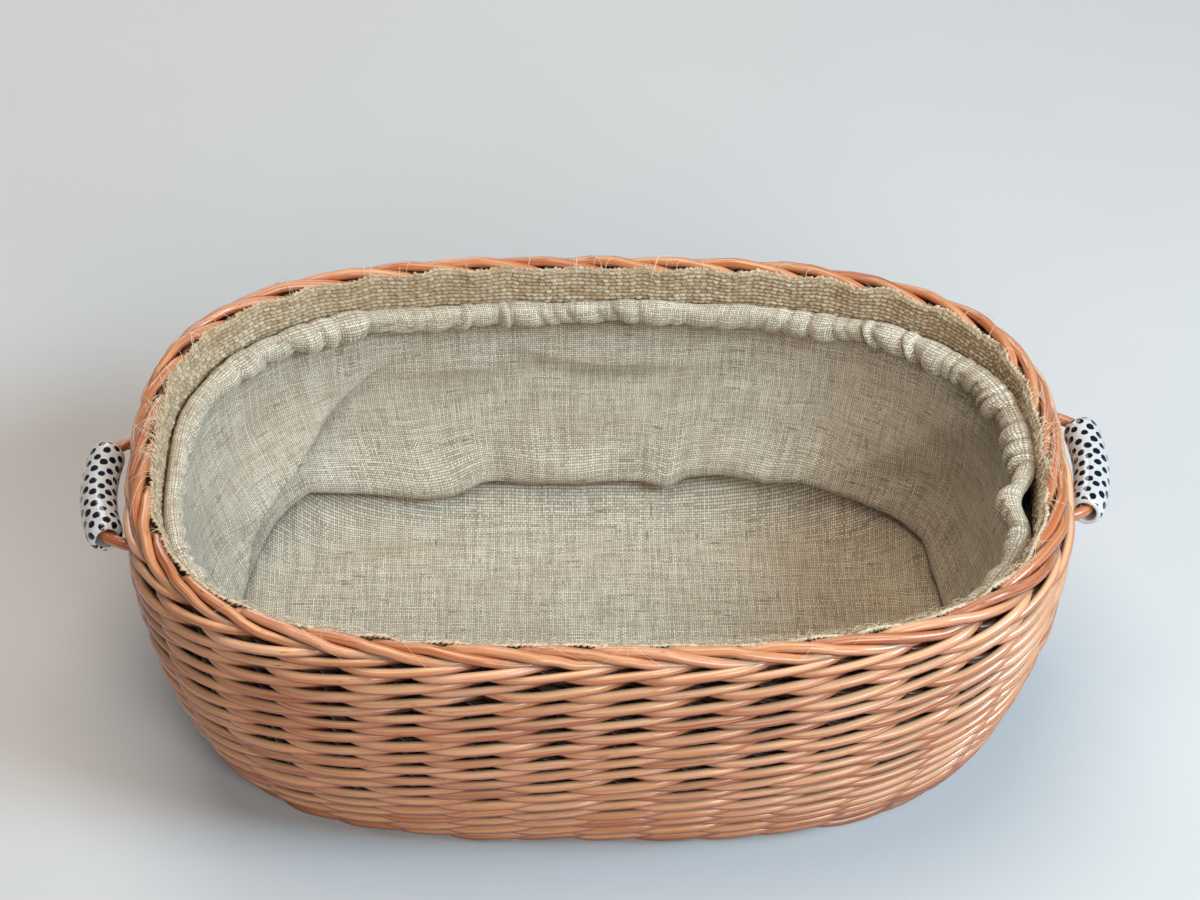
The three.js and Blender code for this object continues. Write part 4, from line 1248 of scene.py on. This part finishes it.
def linen_weave():
    """Group: plain-woven linen on a UV map in metres, with uneven threads."""
    tree, nodes, outlet = varying_group("linen_weave", {"Color": "Color", "Height": "Float"})
    flat = nodes.flat()
    sway = nodes.add("TexNoise", {"Vector": flat, "Scale": 60.0, "Detail": 2.0}).outputs["Color"]
    sway = nodes.vector("SUBTRACT", sway, (0.5, 0.5, 0.5))
    shifted = nodes.vector("ADD", flat, nodes.vector("MULTIPLY", sway, (THREAD_SWAY, THREAD_SWAY, 0)))
    counted = nodes.vector("DIVIDE", shifted, (THREAD, THREAD, 1))
    counted = nodes.add("SeparateXYZ", {"Vector": counted}).outputs
    warp, weft = counted["X"], counted["Y"]
    warp_wave = nodes.math("SINE", nodes.times(warp, math.pi))
    weft_wave = nodes.math("SINE", nodes.times(weft, math.pi))
    warp_over = nodes.math("GREATER_THAN", nodes.times(warp_wave, weft_wave), 0)
    warp_round, weft_round = nodes.math("ABSOLUTE", warp_wave), nodes.math("ABSOLUTE", weft_wave)
    top = nodes.either(warp_over, weft_round, warp_round)
    hole = nodes.between(nodes.math("MAXIMUM", warp_round, weft_round), 0.75, 0.2)

    def streaks(along_warp, fineness, long):
        thin, far, apart_from = (warp, weft, 3.7) if along_warp else (weft, warp, 9.1)
        thin = nodes.times(nodes.math("FLOOR", thin), fineness)
        return nodes.noise(nodes.spot(thin, nodes.math("DIVIDE", far, long), apart_from), 1.0, 2.0, 0.6)

    # Each thread has its own tone, and each crossing differs a little.
    tone = nodes.either(warp_over, streaks(False, 7.31, 24.0), streaks(True, 7.31, 24.0))
    crossing = nodes.spot(nodes.math("FLOOR", warp), nodes.math("FLOOR", weft))
    speck = nodes.add("TexWhiteNoise", {"Vector": crossing}).outputs["Value"]
    tone = nodes.plus(tone, nodes.times(nodes.minus(speck, 0.5), 0.12))
    body = nodes.mix(nodes.between(tone, 0.25, 0.75), LINEN_DULL, LINEN_PALE)

    # Slubs, where the flax was spun thick, and a cloudy tone over the cloth.
    slub = nodes.math("MAXIMUM", nodes.between(streaks(True, 3.17, 14.0), 0.68, 0.76),
                      nodes.between(streaks(False, 3.17, 18.0), 0.66, 0.72))
    body = nodes.mix(nodes.times(slub, 0.6), body, LINEN_SLUB)
    cloud = nodes.noise(flat, 22.0, 3.0, 0.6)
    body = nodes.mix(nodes.between(cloud, 0.35, 0.75, 0, 0.35), body, LINEN_CLOUD)

    # Painted shade where a thread dips under the next, darkest in the holes between four.
    along = nodes.either(warp_over, warp_round, weft_round)
    crown = nodes.times(top, nodes.math("MULTIPLY_ADD", along, 0.5, 0.5))
    body = nodes.mix(nodes.between(crown, 0.75, 0.1, 0, 0.62), body, LINEN_DIP_SHADE)
    nodes.feed(outlet["Color"], nodes.mix(nodes.times(hole, 0.8), body, LINEN_HOLE))
    nodes.feed(outlet["Height"], nodes.minus(top, nodes.times(hole, 0.6)))
    return tree


linen_finish, nodes = finish_of("natural_linen")
weave = nodes.add("Group", node_tree=linen_weave()).outputs
wrong_side = nodes.add("NewGeometry").outputs["Backfacing"]
right_side = nodes.minus(SHADE_SHARE, nodes.times(wrong_side, SHADE_SHARE))
shaded = nodes.mix(nodes.times(nodes.painted("shade"), right_side), weave["Color"], LINEN_SHADE, "MULTIPLY")
nodes.surface({"Base Color": shaded, "Roughness": 0.92, "Specular IOR Level": 0.2, "Sheen Weight": 0.12},
              bump=(weave["Height"], 0.5, 0.0003))
side_panel.data.materials.append(linen_finish)
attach(side_panel, "lining")
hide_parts("lining_side_panel")

# Linen lining, base panel: an oval of the same linen, laid on the woven base and sewn to the side panel.
# It is cut a little large, so its edge curls up to the seam.
BASE_COLUMNS = 480
BASE_RINGS = 60
BASE_LEVEL = 0.0118
BASE_CURL = 0.024
BASE_CURL_POWER = 2.2
# Wrinkles: height, waves across and along in radians per metre, and which start they take.
BASE_WRINKLES = [(0.0004, 60, 18, 3), (0.0003, 140, -30, 4)]
RIDGE = 0.0012
RIDGE_INWARD, RIDGE_HALF_WIDTH = 0.030, 0.005
RIDGE_MIDDLE, RIDGE_HALF_LENGTH = 0.40, 0.07
EDGE_PINCH = 0.7
EDGE_PINCH_REACH = 0.0016
EDGE_SHADE = 1.1
EDGE_SHADE_REACH = 0.0026


def base_place(across, up):
    length = across * RIM_LENGTH
    seam = seam_level(length)
    edge = lining_inside(seam) - PINCH
    inward = (RIM_HALF_WIDTH - edge) * (1 - up)
    curl = np.clip(1 - inward / BASE_CURL, 0, 1) ** BASE_CURL_POWER
    point = rim_point(length, -edge - inward, BASE_LEVEL + (seam - BASE_LEVEL) * curl)
    x, y = point[:, 0], point[:, 1]
    wrinkle = sum(high * np.sin(wide * y + long * x + lining_waves[start])
                  for high, wide, long, start in BASE_WRINKLES)
    ridge = RIDGE * np.exp(-(((inward - RIDGE_INWARD) / RIDGE_HALF_WIDTH) ** 2))
    ridge = ridge * np.exp(-(((length - RIDGE_MIDDLE) / RIDGE_HALF_LENGTH) ** 2))
    point[:, 2] += (wrinkle + ridge) * (1 - curl) - EDGE_PINCH * PINCH * np.exp(-inward / EDGE_PINCH_REACH)
    return point


def base_shade(across, up):
    inward = (RIM_HALF_WIDTH - lining_inside(seam_level(across * RIM_LENGTH))) * (1 - up)
    return EDGE_SHADE * np.exp(-inward / EDGE_SHADE_REACH)


base_panel = sheet_on_grid("linen_base_panel", BASE_COLUMNS, BASE_RINGS, base_place,
                           lambda across, up: (across, up), base_shade)
mesh = base_panel.data
laid_out = read(mesh.vertices, "co", 3)[corners_of(mesh), :2]
mesh.uv_layers[0].data.foreach_set("uv", laid_out.ravel())
base_panel.data.materials.append(linen_finish)
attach(base_panel, "lining")
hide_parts("lining_base_panel")

# Elastic: a white ribbed band of rubber and polyester, threaded loose through the hem casing and sewn
# into a ring. It draws the hem in.
ELASTIC_WIDTH = 0.008
ELASTIC_THICKNESS = 0.0012
RIB_PITCH = 0.0011
RIB_GREY = colour(205, 205, 202)
RIB_WHITE = colour(236, 236, 233)


def elastic_place(across, up):
    length = across * RIM_LENGTH
    z = HEM_LEVEL + hem_lift(length) + ELASTIC_WIDTH * (up - 0.5)
    return rim_point(length, HEM_INSIDE - hem_pull(length), z)


elastic = sheet_on_grid("hem_elastic", TAPE_COLUMNS, TAPE_ROWS, elastic_place,
                        lambda across, up: (across * RIM_LENGTH, up * ELASTIC_WIDTH))
thicken(elastic, ELASTIC_THICKNESS)
material, nodes = finish_of("ribbed_elastic")
ribs = nodes.math("SINE", nodes.times(nodes.unrolled()["Y"], 2 * math.pi / RIB_PITCH))
nodes.surface({"Base Color": nodes.mix(nodes.between(ribs, -1, 1), RIB_GREY, RIB_WHITE), "Roughness": 0.8})
elastic.data.materials.append(material)
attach(elastic, "lining")
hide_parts("lining_hem_elastic")
